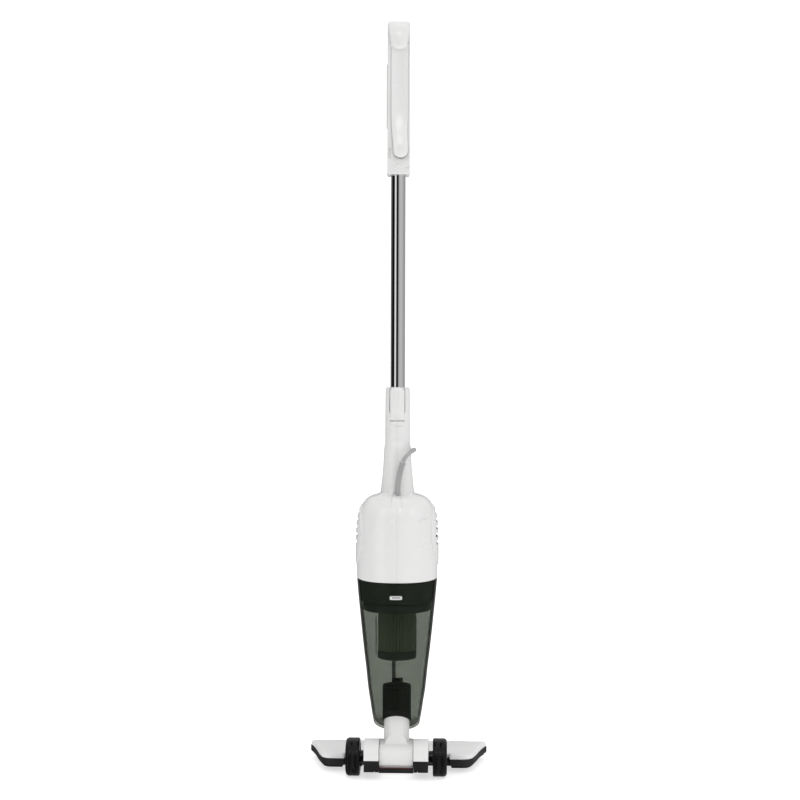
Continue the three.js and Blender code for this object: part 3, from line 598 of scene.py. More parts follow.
# ---------------------------------------------------------------- profiles
CUP = [(40, 28), (62, 31.5), (84, 34.8), (93, 36.5), (110.6, 39.2), (128, 42), (154.7, 44.8), (172.4, 46.9), (190, 49), (216.5, 51.9), (243, 54.6), (260.7, 56.4), (291.2, 59.1), (300, 59.9)]
BODY = [(285, 59.1, 59.2), (291.8, 59.2, 59.4), (331, 59.6, 60.6), (364, 59.2, 60.2), (384.5, 56.8, 57.8), (394, 54, 55), (402.2, 49.8, 50.6), (408.6, 44, 45.4), (412.4, 37, 39.4), (415, 28.6, 32), (416.6, 25.4, 29.4), (432, 23.2, 26.6), (455.5, 20.9, 23.8), (482, 19.6, 21.6), (491, 18.3, 20.4), (524, 18.2, 19.6), (572, 18.1, 19.2), (580, 18.1, 19.2)]


def table_at(table, z, k=1):
    """Monotone cubic through the table's rows."""
    n = len(table)
    if z <= table[0][0]:
        return table[0][k]
    if z >= table[-1][0]:
        return table[-1][k]
    i = max(j for j in range(n - 1) if table[j][0] <= z)
    h = [table[j + 1][0] - table[j][0] for j in range(n - 1)]
    d = [(table[j + 1][k] - table[j][k]) / h[j] for j in range(n - 1)]

    def slope(j):
        if j == 0:
            return d[0]
        if j == n - 1:
            return d[-1]
        if d[j - 1] * d[j] <= 0:
            return 0.0
        w1, w2 = 2 * h[j] + h[j - 1], h[j] + 2 * h[j - 1]
        return (w1 + w2) / (w1 / d[j - 1] + w2 / d[j])

    t = (z - table[i][0]) / h[i]
    a, b = table[i][k], table[i + 1][k]
    ma, mb = slope(i) * h[i], slope(i + 1) * h[i]
    return (2 * t ** 3 - 3 * t ** 2 + 1) * a + (t ** 3 - 2 * t ** 2 + t) * ma + (-2 * t ** 3 + 3 * t ** 2) * b + (t ** 3 - t ** 2) * mb


def spread(a, b, n):
    return [a + (b - a) * i / (n - 1) for i in range(n)]


def bell(t):
    return math.exp(-t * t)


SEG = 128


def body_ring(z, d=0.0, pads=False, n=2.25):
    hw, hd = table_at(BODY, z, 1) - d, table_at(BODY, z, 2) - d
    tilt = 0.04 * (1 - smooth((z - 292) / 60))
    ring = []
    for x, y, zz in ellipse(hw, hd, n, SEG, z):
        if pads and y < 0 and z > 430:
            for pz, amp, rz in ((508.0, 1.0, 6.0), (482.5, 1.2, 7.0)):
                k = amp * bell((z - pz) / rz) * bell(x / 10)
                y -= k
            y += 2.2 * bell((z - 495) / 5.0) * bell(x / 12) + 1.4 * bell((z - 468) / 5.0) * bell(x / 12)
            lip = smooth((z - 515.4) / 1.6) * (1 - smooth((z - 519.5) / 4.5)) if z < 524 else 0.0
            y -= 2.6 * lip * bell(x / 9.5) ** 1.5
            y += 1.2 * bell((z - 514.0) / 2.2) * bell(x / 10)
        ring.append((x, y, z + tilt * y))
    return ring


BODY_Z = [291.8, 293, 300, 312, 322, 331, 340, 350, 357, 364, 370, 376, 380, 384.5, 388, 391, 394, 396.5, 399, 401, 402.6, 404, 405.4, 406.8, 408, 409.2, 410.2, 411.2, 412.2, 413, 413.8, 414.6, 415.2, 415.8, 416.4, 417.2, 419, 422, 426, 431, 437, 443, 449, 455, 460, 465, 469, 472, 475, 478, 481, 484, 487, 490, 493, 496, 499, 502, 505, 508, 510, 511.5, 512.5, 513.3, 514, 514.7, 515.3, 515.8, 516.3, 516.8, 517.4, 518, 518.8, 519.6, 520.4, 521.2]


def outer_body(d=0.0, zs=None, pads=True, lip=True):
    rings = []
    zs = zs or BODY_Z
    for z in zs:
        rings.append(body_ring(z, d, pads))
    return rings


def housing():
    # the grip ends in a ledge, then the proud collar round the rod
    rings = [body_ring(291.8, 1.3), body_ring(292.2, 0.5), body_ring(292.9, 0.0)] + [body_ring(z, 0, True) for z in BODY_Z[2:]]
    rings += [body_ring(z, d, True) for z, d in ((522, 0.0), (522.8, 0.0), (523.6, 0.0))]
    rings += [body_ring(z, d) for z, d in ((524.4, 0.0), (530, 0.0), (545, 0.05), (560, 0.15), (567, 0.35), (569.6, 0.7), (571, 1.2), (571.7, 1.9), (572, 2.8))]
    return loft("housing", rings, None)


inside = lambda z, k: min(table_at(BODY, z, k) - 2.5, table_at(BODY, z + 2.8, k) - 0.8)
hollow = loft("hollow", [[(x, y, z) for x, y, _ in ellipse(inside(z, 1), inside(z, 2), 2.25, SEG, z)] for z in (284, 300, 331, 350, 364, 373, 381, 386, 391, 396, 400, 403, 406, 408, 409.6, 411, 412, 413.6, 418, 430, 455, 480, 500)], None)
shell = housing()
cutters = [
    hollow,
    turned("c", [(0, 480), (11.2, 480), (11.2, 571), (12.2, 572.5), (12.2, 600), (0, 600)], None, seg=64),
    prism("c", rounded([(-7, 441.6), (7, 441.6), (7, 468.4), (-7, 468.4)], 4), 10, 40, "Y", None),
    prism("c", rounded([(-9.6, 297.4), (9.6, 297.4), (9.6, 313.6), (-9.6, 313.6)], 4), 40, 80, "Y", None),
    prism("c", [(-9.15, 397.3), (9.15, 397.3), (5.45, 417.6), (-5.45, 417.6)], -60, -20, "Y", None),
    prism("c", [(-10.66, 521.7), (10.66, 521.7), (10.66, 534.6), (11.5, 534.8), (11.5, 590), (-11.7, 590), (-11.7, 534.8), (-10.66, 534.6)], -30, -10, "Y", None),
    prism("c", [(-25, 341), (25, 341), (25, 379), (17.5, 391.6), (-17.5, 391.6), (-25, 379)], 40, 80, "X", None),
    prism("c", [(-25, 341), (25, 341), (25, 379), (17.5, 391.6), (-17.5, 391.6), (-25, 379)], -80, -40, "X", None),
    turned("c", [(0, 270), (46, 270), (46, 392), (0, 392)], None, seg=64),
]
shell = combine(shell, cutters)
# arched slot beside the shoulder, on the right of the rear
slot_cut = loft("c", [[(p[0], yy, p[1]) for p in rounded([(33.4, 377.4), (44.2, 380.6), (43.9, 382.0), (38.4, 382.0), (33.2, 379.0)], 0.6, 5)] for yy in (-70, -30)], None)
slot_cut = combine(slot_cut, loft("c", [body_ring(z, 0.7) for z in (360, 364, 370, 376, 380, 384.5, 388, 391)], None))
shell = combine(shell, slot_cut)
bosses = [(-50.6, 326), (50.6, 330), (50.4, 378)]
for y, z in bosses:
    b = turned("boss", [(0, -50), (4.2, -50), (4.2, 50), (0, 50)], None, 0, y, z, "X", 32)
    b = combine(b, loft("lim", [body_ring(zz, 0.4) for zz in (300, 315, 331, 345, 357, 364, 376, 384.5, 391, 396)], None), "INTERSECT")
    shell = combine(shell, b, "UNION")
for y, z in bosses:
    top = 30 if y < 0 else 80
    shell = combine(shell, turned("c", [(0, -14), (1.9, -14), (1.9, 16.8), (3.4, 16.8), (3.4, top), (0, top)], None, 0, y, z, "X", 32))
for side, s in (("left", -1), ("right", 1)):
    h = copy_of(shell, "shell_" + side + "_fine")
    h = combine(h, block("c", *((-90, -0.05) if s < 0 else (0.05, 90)), -90, 90, 200, 700), "INTERSECT")
    h.data.materials.clear()
    h.data.materials.append(M["white_gloss"])
    bevel(h, 0.16, 2, 50)
    piece(h, "motor_unit", "white_plastic", "shell_" + side)
bpy.data.objects.remove(shell)

VENT_Z = [344.4 + 11.1 * i for i in range(5)]
for side, s in (("left", -1), ("right", 1)):
    zs = [306, 315, 322, 331, 340, 350, 357, 364, 370, 376, 380, 384.5, 388, 391, 394, 396.5, 399, 401, 402.6]
    v = loft("vent_" + side + "_fine", [body_ring(z, -1.45) for z in zs], "white_gloss")
    v = combine(v, loft("c", [body_ring(z, 0.5) for z in [290] + zs + [406]], None))
    oval = [(37 * math.cos(2 * math.pi * i / 96), 355 + 44 * math.sin(2 * math.pi * i / 96)) for i in range(96)]
    v = combine(v, prism("c", oval, *((40, 100) if s > 0 else (-100, -40)), "X", None), "INTERSECT")
    for i, z in enumerate(VENT_Z):
        w = 25 - abs(i - 1) * 2.6
        v = combine(v, prism("c", rounded([(-w, z - 3.0), (w, z - 3.0), (w, z + 3.0), (-w, z + 3.0)], 2.8, 5), *((40, 100) if s > 0 else (-100, -40)), "X", None))
    bevel(v, 0.6, 3, 50)
    piece(v, "motor_unit", "white_plastic", "vent_" + side)

# keystone gland
gland = loft("gland_fine", [body_ring(z, -0.45 * smooth((z - 399) / 9)) for z in (390, 394, 396.5, 399, 401, 402.6, 404, 405.4, 406.8, 408, 409.2, 410.2, 411.2, 412.2, 413, 413.8, 414.6, 415.2, 415.8, 416.4, 417.2, 420)], "white_gloss")
gland = combine(gland, prism("c", [(-9.1, 397.2), (9.1, 397.2), (5.3, 416.6), (-5.3, 416.6)], -60, -24.4, "Y", None), "INTERSECT")
gland = combine(gland, block("c", -20, 20, -26, 0, 380, 407))
bevel(gland, 0.2, 2, 45)
piece(gland, "motor_unit", "white_plastic", "cord_gland")


# ribbed strain relief, along its curve
def swept(name, points, section, mat, roll=(0, -1, 0), angle=35):
    """section(t, s) gives the (side, out) outline at t from 0 to 1 along the points."""
    pts = [Vector(p) for p in points]
    n = len(pts)
    rings = []
    for i, p in enumerate(pts):
        t = (pts[min(n - 1, i + 1)] - pts[max(0, i - 1)]).normalized()
        out = Vector(roll)
        out = (out - t * out.dot(t)).normalized()
        side = t.cross(out)
        rings.append([tuple(p + side * u + out * v) for u, v in section(i / (n - 1))])
    return loft(name, rings, mat, angle=angle)


RELIEF = [(1, -34.6, 417.2), (1.6, -34.4, 428), (3.4, -34, 441), (5.8, -33.7, 452), (8.8, -33.4, 462)]
line = catmull(RELIEF, 24)


def relief_section(t):
    """Flat-sided, a little wider to its free end, with flexing notches down both sides."""
    w, h = 3.9 + 0.75 * t, 3.7 - 0.3 * t
    k = (t * 46) / 3.3
    notch = 0.08 < t < 0.95 and (k % 1) > 0.55
    out = []
    for u, v, _ in ellipse(w, h, 4.2, 44, 0):
        if notch and abs(u) > w * 0.62:
            u *= 0.74
        out.append((u, v))
    return out


relief = swept("strain_relief_fine", line, relief_section, "relief", angle=28)
piece(relief, "motor_unit", "cord_grey", "strain_relief")

# rod latch: a tongue with side slots, shallow grooves and a thumb bump


def latch_shape():
    seg = 256
    rings = []
    for z in [522.6, 523.1, 523.8] + spread(525.4, 566, 62) + [567.5, 568.6, 569.6, 570.4, 571.0, 571.4, 571.6]:
        d = 1.2 * bell((z - 522.4) / 0.7) + 3.2 * max(0, (z - 564) / 7.6) ** 3
        ring = []
        for x, y, _ in ellipse(table_at(BODY, z, 1) - d, table_at(BODY, z, 2) - d, 2.25, seg, z):
            if y < 0:
                bump_h = 1.5 * bell((z - 536) / 3.4) * bell(x / 2.6)
                dish = -0.45 * bell((z - 530) / 5) * bell(x / 8)
                gro = (-0.45 * bell((x + 6.4) / 1.0) - 0.3 * bell(x / 1.0) - 0.4 * bell((x - 6.2) / 1.0)) * smooth((z - 541) / 6)
                dot = -0.7 * min(1.0, max(0.0, 1.6 - math.hypot(x - 0.0, z - 556.3)))
                y -= bump_h + dish + gro + dot
            ring.append((x, y, z))
        rings.append(ring)
    return loft("rod_latch_fine", rings, "white_gloss")


latch = latch_shape()
latch = combine(latch, prism("c", rounded([(-10.6, 522.5), (10.6, 522.5), (10.6, 566), (7.6, 570.4), (3, 571.7), (-3, 571.7), (-7.6, 570.4), (-10.6, 566)], 0.8, 3), -40, -15.2, "Y", None), "INTERSECT")
latch = combine(latch, turned("c", [(0, 500), (15.4, 500), (15.4, 600), (0, 600)], None, seg=64))
latch = combine(latch, block("peg", -4, 4, -16, -12.4, 552, 556), "UNION")
bevel(latch, 0.4, 3, 50)
piece(latch, "rod_latch", "white_plastic", "rod_latch")

# buttons
pb = prism("power_button_fine", rounded([(-6.6, 442), (6.6, 442), (6.6, 468), (-6.6, 468)], 4, 8), 15.8, 25.4, "Y", "grey")
pb = combine(pb, prism("c", rounded([(-3.8, 453.4), (3.8, 453.4), (3.8, 454.6), (-3.8, 454.6)], 0.5), 24.9, 30, "Y", None))
pb = combine(pb, prism("c", rounded([(-3.8, 456.4), (3.8, 456.4), (3.8, 457.6), (-3.8, 457.6)], 0.5), 24.9, 30, "Y", None))
bevel(pb, 0.7, 3, 50)
piece(pb, "power_button", "grey_plastic", "power_button")
cb = prism("cup_button_fine", rounded([(-9.2, 297.8), (9.2, 297.8), (9.2, 313.2), (-9.2, 313.2)], 4, 8), 53, 62, "Y", "grey")
for zz in (302.5, 305.5, 308.5):
    cb = combine(cb, prism("c", rounded([(-5.5, zz - 0.5), (5.5, zz - 0.5), (5.5, zz + 0.5), (-5.5, zz + 0.5)], 0.45), 61.4, 66, "Y", None))
bevel(cb, 0.7, 3, 50)
piece(cb, "cup_button", "grey_plastic", "cup_button")

# ---------------------------------------------------------------- dust cup, its catch and ducts
CN = 2.2


def cup_ring(z, d=0.0, tilt=0.0, seg=SEG):
    a = table_at(CUP, z) - d
    return [(x, y, z + tilt * y) for x, y, _ in ellipse(a, a, CN, seg, z)]


def below(shift, name="c"):
    """Everything under the slanted plane of the cup's underside."""
    s = 0.632
    return loft(name, [[(x, y, -200) for x, y in ((-150, -200), (150, -200), (150, 200), (-150, 200))], [(x, y, 77.6 + shift - s * y) for x, y in ((-150, -200), (150, -200), (150, 200), (-150, 200))]], None)


CUPZ = [40, 50, 62, 73, 84, 93, 101, 110.6, 119, 128, 141, 154.7, 163, 172.4, 181, 190, 203, 216.5, 230, 243, 252, 260.7, 270, 280, 287]
cup = loft("dust_cup_fine", [cup_ring(z) for z in CUPZ] + [cup_ring(290.0, 0.0, 0.04), cup_ring(290.9, 0.25, 0.04), cup_ring(291.2, 0.7, 0.04)], "smoke")
cup = combine(cup, below(0))
inner = loft("c", [cup_ring(z, 2.2) for z in CUPZ] + [cup_ring(296, 2.2, 0.04)], None)
inner = combine(inner, below(3.0))
cup = combine(cup, inner)
cup = combine(cup, turned("c", [(0, 20), (21.3, 20), (21.3, 132), (0, 132)], None, seg=96))
cup = combine(cup, block("c", -9.4, 9.4, -70, -40, 264.6, 272))
bevel(cup, 0.5, 3, 50)
piece(cup, "cup", "smoke_clear", "dust_cup")
# (ribs inside the rear wall, moulded in one with it)
for side, s in (("left", -1), ("right", 1)):
    r = block("cup_rib_" + side, s * 29 - 0.7, s * 29 + 0.7, -48.6, -37.5, 156, 238, "smoke")
    lim = loft("c", [cup_ring(z, 2.3) for z in CUPZ], None)
    r = combine(r, lim, "INTERSECT")
    bevel(r, 0.3, 2, 50)
    piece(r, "cup", "smoke_clear")

catch = prism("rear_catch_fine", rounded([(-8.8, 265.6), (8.8, 265.6), (8.8, 270.7), (-8.8, 270.7)], 2.3, 8), -57.4, -54.6, "Y", "white")
catch = combine(catch, prism("c", rounded([(-5.4, 267.1), (7.0, 267.1), (7.0, 269.6), (-6.8, 269.6)], 1.0, 5), -70, -55.6, "Y", None))
bevel(catch, 0.35, 3, 50)
piece(catch, "cup", "white_plastic", "rear_catch")
# painted shade: a grey block set inside the catch's recess darkens it as shade would
shade = prism("rear_catch_painted_shade", rounded([(-6.0, 267.0), (6.6, 267.0), (6.6, 269.3), (-6.4, 269.3)], 1.0, 5), -56.3, -55.3, "Y", "grey")
bevel(shade, 0.15, 2, 50)
piece(shade, "cup", "grey_plastic")

duct = turned("inlet_duct_fine", [(19.2, 30), (21, 30), (21, 129.8), (20.7, 130.6), (20.1, 131), (19.2, 131)], "duct", seg=128)
duct = combine(duct, below(0.2))
lug = combine(block("lug", -8, 8, 19.6, 25.2, 122, 138), block("c", -5.2, 5.2, 19, 30, 131, 145))
duct = combine(duct, lug, "UNION")
for nx in (-5.6, 1.8):
    nub = turned("nub", [(0, 128), (1.9, 128), (1.9, 132.4), (1.5, 132.9), (0, 133)], None, nx, -20.1, 0, "Z", 24)
    duct = combine(duct, nub, "UNION")
duct = combine(duct, turned("c", [(0, -12), (1.5, -12), (1.5, 12), (0, 12)], None, 0, 23.3, 135.4, "X", 32))
bevel(duct, 0.3, 2, 50)
piece(duct, "cup", "black_plastic", "inlet_duct")

flap = turned("inlet_flap_fine", [(0, 131.5), (20.2, 131.5), (20.6, 131.8), (20.6, 132.5), (19.4, 132.9), (16, 133.4), (12, 134.4), (9, 134.9), (0, 135)], "rubber", seg=96)
flap = combine(flap, block("c2", -4.6, 4.6, 15, 23.6, 131.5, 134), "UNION")
flap = combine(flap, turned("k", [(0, -4.6), (2.6, -4.6), (2.6, 4.6), (0, 4.6)], None, 0, 23.3, 135.4, "X", 32), "UNION")
flap = combine(flap, [turned("c", [(0, -12), (1.5, -12), (1.5, 12), (0, 12)], None, 0, 23.3, 135.4, "X", 32), block("c", -9, -4.9, 18.8, 26, 125, 138.4), block("c", 4.9, 9, 18.8, 26, 125, 138.4)])
bevel(flap, 0.3, 2, 50)
piece(flap, "inlet_flap", "soft_black", "inlet_flap")

# motor skirt that plugs into the cup, with a sealing rib
skirt_out = [cup_ring(z, d) for z, d in ((257.2, 3.6), (257.8, 3.0), (258.6, 2.8), (262, 2.8), (262.6, 3.3), (263.6, 3.3), (264.2, 2.8), (275, 2.8), (276, 2.8), (291.4, 2.8))]
skirt = loft("motor_skirt_fine", skirt_out, "frame")
skirt = combine(skirt, loft("c", [cup_ring(z, 5.2) for z in (260, 268, 275, 285, 298)], None))
skirt = combine(skirt, turned("c", [(0, 250), (24.4, 250), (24.4, 300), (0, 300)], None, seg=96))
bevel(skirt, 0.3, 2, 50)
piece(skirt, "motor_unit", "black_plastic", "motor_skirt")

# ---------------------------------------------------------------- filter
ff = turned("filter_frame_fine", [(20, 244), (48.6, 244), (49.4, 244.4), (49.9, 245.2), (50.4, 255.6), (50, 256.4), (23.8, 256.4), (23.8, 262.6), (23.4, 263), (20, 263)], "frame", seg=128)
bevel(ff, 0.3, 2, 50)
piece(ff, "filter", "black_plastic", "filter_frame")
star = []
NP = 34
for i in range(NP * 6):
    t = 2 * math.pi * i / (NP * 6)
    r = 25.9 + 2.1 * math.copysign(abs(math.cos(NP * t)) ** 0.7, math.cos(NP * t))
    star.append((r * math.cos(t), r * math.sin(t)))
fp = prism("filter_pleats_fine", star, 184.4, 243.6, "Z", "paper", 60)
fp = combine(fp, turned("c", [(0, 150), (22.6, 150), (22.6, 300), (0, 300)], None, seg=96), angle=60)
piece(fp, "filter", "filter_paper", "filter_pleats")
fc = turned("filter_cap_fine", [(0, 172), (25, 172), (26.6, 172.4), (27.8, 173.2), (28.6, 174.6), (28.6, 183.4), (28.2, 184), (24, 184), (24, 176), (0, 176)], "frame", seg=128)
bevel(fc, 0.3, 2, 50)
piece(fc, "filter", "black_plastic", "filter_cap")

# ---------------------------------------------------------------- rod
rod = turned("rod_tube_fine", [(9.7, 512.4), (10.2, 512), (10.7, 512.6), (10.7, 923.4), (10.2, 924), (9.7, 923.6)], "chrome", seg=160)
rod = combine(rod, prism("c", rounded([(-4.4, 551), (4.4, 551), (4.4, 557), (-4.4, 557)], 1), -20, 0, "Y", None), angle=30)
piece(rod, "rod", "bright_steel", "rod_tube")

# ---------------------------------------------------------------- floor head
HEAD_HALF, HEAD_FRONT_Y = 136, 104
half = [(0, 21), (25, 21), (49.5, 21), (49.5, 22.6), (77, 22.6), (77, 10), (100, 10), (107.5, 12.5), (113, 19), (118.5, 36), (124.5, 62), (131, 84), (135.2, 94), (136, 98.5), (134.5, 102.5), (130, 104)]
PLAN = half[1:] + [(-x, y) for x, y in half[1:][::-1]]
# rounded where the plan turns, sharp at the wheel wells
PLAN_R = [0, 0, 0, 1.5, 3, 8, 6, 8, 12, 20, 14, 5, 4, 3, 4]
def inset(pts, d):
    n = len(pts)
    out = []
    for i, p in enumerate(pts):
        a, b = Vector(pts[i - 1]), Vector(pts[(i + 1) % n])
        p = Vector(p)
        u, v = (p - a).normalized(), (b - p).normalized()
        nu, nv = Vector((-u.y, u.x)), Vector((-v.y, v.x))
        m = nu + nv
        k = d / max(0.35, m.dot(nu)) if m.length > 1e-6 else 0
        out.append(tuple(p + m * k))
    return out


def plan_at(d):
    """The head's plan moved in by d, its corners rounded: convex ones less and hollow ones more."""
    pts = inset(PLAN, d)
    radii = []
    n = len(pts)
    for i, r in enumerate(PLAN_R + PLAN_R[::-1]):
        a, p, b = Vector(PLAN[i - 1]), Vector(PLAN[i]), Vector(PLAN[(i + 1) % n])
        turn = (p - a).x * (b - p).y - (p - a).y * (b - p).x
        radii.append(max(0.05, r - d if turn > 0 else r + d) if r else 0.05)
    return rounded(pts, radii, 6)


def plan_loft(name, steps, mat):
    """steps of (z, inset), going round the head's plan."""
    return loft(name, [[(x, y, z) for x, y in plan_at(d)] for z, d in steps], mat)


deck = plan_loft("head_cover_fine", [(19.9, 0.9), (20.6, 0.85), (22.0, 0.95), (23.2, 1.25), (24.3, 1.8), (25.2, 2.7), (25.8, 3.9), (26, 5.4)], "white")
HUMP = [(-37, 28.2), (-37.2, 36), (-35, 45.4), (-29, 53), (-21, 56.6), (-12, 55.4), (4, 51.6), (24, 46.8), (40, 42), (52, 35.6), (62, 29.4), (70, 25), (70, 22), (21.6, 22), (21.6, 11.6), (20.2, 11.6), (20.2, 28.2)]
HUMP_R = [0.6, 8, 9, 8, 8, 8, 14, 14, 10, 8, 8, 2, 0, 0, 0, 0, 0]
hump = prism("hump", rounded(HUMP, HUMP_R, 8), -47, 47, "X", None)
bevel(hump, 2.6, 5, 60)
hump = combine(hump, block("c", -60, 60, 20.9, 90, 0, 19.9))
deck = combine(deck, hump, "UNION")
chan = plan_loft("chan", [(0, 4.4), (23.2, 4.4)], None)
chan = combine(chan, block("c", -200, 200, 24, 200, -1, 60), "INTERSECT")
deck = combine(deck, [chan,
    block("c", -25.3, 25.3, -60, 20, 0, 80),
    block("c", -18, 18, 10, 31, 24, 40),
    prism("c", [(26, 20), (26, 42), (32, 41), (40, 37.4), (50, 31.4), (60, 24), (60, 20)], -40, 40, "X", None),
    turned("c", [(0, -60), (3.3, -60), (3.3, 60), (0, 60)], None, 0, PIVOT_Y, PIVOT_Z, "X", 32)])
bevel(deck, 0.7, 3, 55)
piece(deck, "floor_head", "white_plastic", "head_cover")

bumper = plan_loft("head_bumper_fine", [(10, 1.3), (10.3, 0.6), (11, 0.12), (12, 0), (14.4, 0), (14.7, 0.25), (15.1, 0.25), (15.4, 0), (17.8, 0), (18.8, 0.15), (19.4, 0.7), (19.6, 1.5)], "rubber")
bumper = combine(bumper, plan_loft("c", [(0, 3.2), (40, 3.2)], None))
bevel(bumper, 0.25, 2, 60)
piece(bumper, "floor_head", "soft_black", "head_bumper")

sole = plan_loft("head_sole_fine", [(6, 5.0), (6.4, 4.2), (7.4, 3.7), (9, 3.6), (19, 3.6)], "black")
slot_cut = prism("c", rounded([(-104, 70), (104, 70), (104, 90), (-104, 90)], 5, 8), 0, 30, "Z", None)
bay = plan_loft("bay", [(9.5, 5.6), (30, 5.6)], None)
bay = combine(bay, block("c", -200, 200, 25, 200, 0, 60), "INTERSECT")
cuts = [bay, slot_cut, prism("c", rounded([(-4, 40), (4, 40), (4, 48), (-4, 48)], 0.8), 0, 7.2, "Z", None)]
for s in (-1, 1):
    cuts.append(prism("c", rounded([(s * 60 - 8.5, 34), (s * 60 + 8.5, 34), (s * 60 + 8.5, 54), (s * 60 - 8.5, 54)], 1.2), 0, 30, "Z", None))
sole = combine(sole, cuts)
# shallow air grooves across the sole plate
for gx in (-88, -52, 52, 88):
    sole = combine(sole, prism("c", rounded([(gx - 5, 89), (gx + 5, 89), (gx + 3.4, 101), (gx - 3.4, 101)], 1), 0, 7.3, "Z", None))
bevel(sole, 0.6, 3, 50)
piece(sole, "floor_head", "black_plastic", "head_sole")

for side, s in (("left", -1), ("right", 1)):
    a, b = sorted((s * 25.5, s * 46.8))
    yoke = prism("yoke_" + side + "_fine", rounded([(-36.6, 11.4), (20, 11.4), (20, 27.9), (-36.8, 27.9)], 2, 6), a, b, "X", "black")
    yoke = combine(yoke, [turned("c", [(0, -60), (3.3, -60), (3.3, 60), (0, 60)], None, 0, PIVOT_Y, PIVOT_Z, "X", 32), turned("c", [(0, 0), (3.6, 0), (3.6, 14.4), (0, 14.4)], None, s * 36, -27, 0, "Z", 32),
        block("c", s * 31.2 - 0.5, s * 31.2 + 0.5, -40, -30, 5, 15)])
    bevel(yoke, 0.9, 3, 50)
    piece(yoke, "floor_head", "black_plastic", "yoke_" + side)

    # wheel: dished hub inside a fat glossy tyre
    h0, h1 = 53.5 + 0.8, 74.3 - 1.2
    hub_prof = [(3.3, h0), (9.3, h0), (9.3, 47.5), (3.3, 47.4)]
    hub = turned("wheel_hub_" + side + "_fine", [(3.3, s * 47.4), (8.9, s * 47.4), (9.3, s * 47.8), (9.3, s * 54.0), (10.2, s * 54.8), (13.5, s * 55.2), (18.6, s * 54.6), (19.6, s * 54.3), (20.2, s * 54.9), (20.2, s * 72.2), (19.6, s * 73.1), (17.2, s * 73.1), (16.4, s * 72.4), (15, s * 70.2), (7, s * 69.8), (6.4, s * 70.8), (3.3, s * 70.8)], "black_gloss", 0, PIVOT_Y, PIVOT_Z, "X", 128)
    for k in range(6):
        t = 2 * math.pi * k / 6
        c = turned("c", [(0, s * 67.6), (2.6, s * 67.6), (2.6, s * 76), (0, s * 76)], None, 0, PIVOT_Y + 11 * math.cos(t), PIVOT_Z + 11 * math.sin(t), "X", 24)
        hub = combine(hub, c)
    bevel(hub, 0.3, 2, 50)
    piece(hub, "wheel_" + side, "black_plastic", "wheel_hub_" + side)
    x0, x1 = s * 53.5, s * 74.3
    R = 27.5
    tyre_prof = [(20.5, x0 + s * 0.5), (21.2, x0 + s * 0.1), (24.6, x0), (26.2, x0 + s * 0.3), (27.1, x0 + s * 1.1), (27.5, x0 + s * 2.4), (27.5, x0 + s * 9.6), (27.25, x0 + s * 10.0), (27.25, x0 + s * 10.5), (27.5, x0 + s * 10.9), (27.5, x1 - s * 5.4), (27.3, x1 - s * 4.0), (26.8, x1 - s * 2.7), (26, x1 - s * 1.6), (24.8, x1 - s * 0.7), (23.4, x1 - s * 0.15), (22, x1), (20.9, x1 - s * 0.3), (20.5, x1 - s * 0.8)]
    tyre = turned("tyre_" + side + "_fine", tyre_prof, "tyre", 0, PIVOT_Y, PIVOT_Z, "X", 160)
    piece(tyre, "wheel_" + side, "tyre_rubber", "tyre_" + side)
    c = s * 60
    roller = turned("roller_" + side + "_fine", [(0, c - 8), (2, c - 8), (2, c - 7), (7.0, c - 7), (7.7, c - 6.7), (8, c - 6), (8, c - 0.8), (7.6, c - 0.4), (7.6, c + 0.4), (8, c + 0.8), (8, c + 6), (7.7, c + 6.7), (7.0, c + 7), (2, c + 7), (2, c + 8), (0, c + 8)], "black", 0, 44, 8, "X", 64)
    piece(roller, "roller_" + side, "black_plastic", "roller_" + side)

bar = prism("yoke_bar_fine", rounded([(-34.5, 10.2), (-30.8, 10.2), (-30.8, 17.2), (-34.5, 17.2)], 0.9, 5), -25.2, 25.2, "X", "black")
bevel(bar, 0.3, 2, 50)
piece(bar, "floor_head", "black_plastic", "yoke_bar")
M["trim"] = moulded("dark_red_trim", (0.11, 0.018, 0.016), 0.5, var=0.1, grain=0.3)
trim = prism("yoke_bar_trim", rounded([(-34.2, 17.25), (-31.0, 17.25), (-31.0, 18), (-34.2, 18)], 0.25, 3), -25.0, 25.0, "X", "trim")
piece(trim, "floor_head", "black_plastic")
axle = turned("head_axle_fine", [(0, -72.3), (2.4, -72.3), (3, -71.7), (3, 71.7), (2.4, 72.3), (0, 72.3)], "steel", 0, PIVOT_Y, PIVOT_Z, "X", 48)
piece(axle, "floor_head", "plain_steel", "head_axle")

# brush: tufts in a row, each a bundle of short bristles
def brush():
    bm = bmesh.new()
    for i in range(108):
        x = -107 + i * 2
        for j, yy in enumerate((93.9, 96.7)):
            lean = 0.5 * math.sin(i * 1.7 + j)
            r0, r1 = 0.95, 1.15
            lo = [bm.verts.new(mm((x + lean + r1 * math.cos(t), yy + r1 * math.sin(t), 0.6 + 0.35 * abs(math.sin(i * 2.3 + j))))) for t in [k * math.pi / 4 for k in range(8)]]
            hi = [bm.verts.new(mm((x + r0 * math.cos(t), yy + r0 * math.sin(t), 5.2))) for t in [k * math.pi / 4 for k in range(8)]]
            for k in range(8):
                bm.faces.new((lo[k], lo[(k + 1) % 8], hi[(k + 1) % 8], hi[k]))
            bm.faces.new(lo[::-1])
            bm.faces.new(hi)
    return finish_mesh("brush_strip_fine", bm, "bristle")


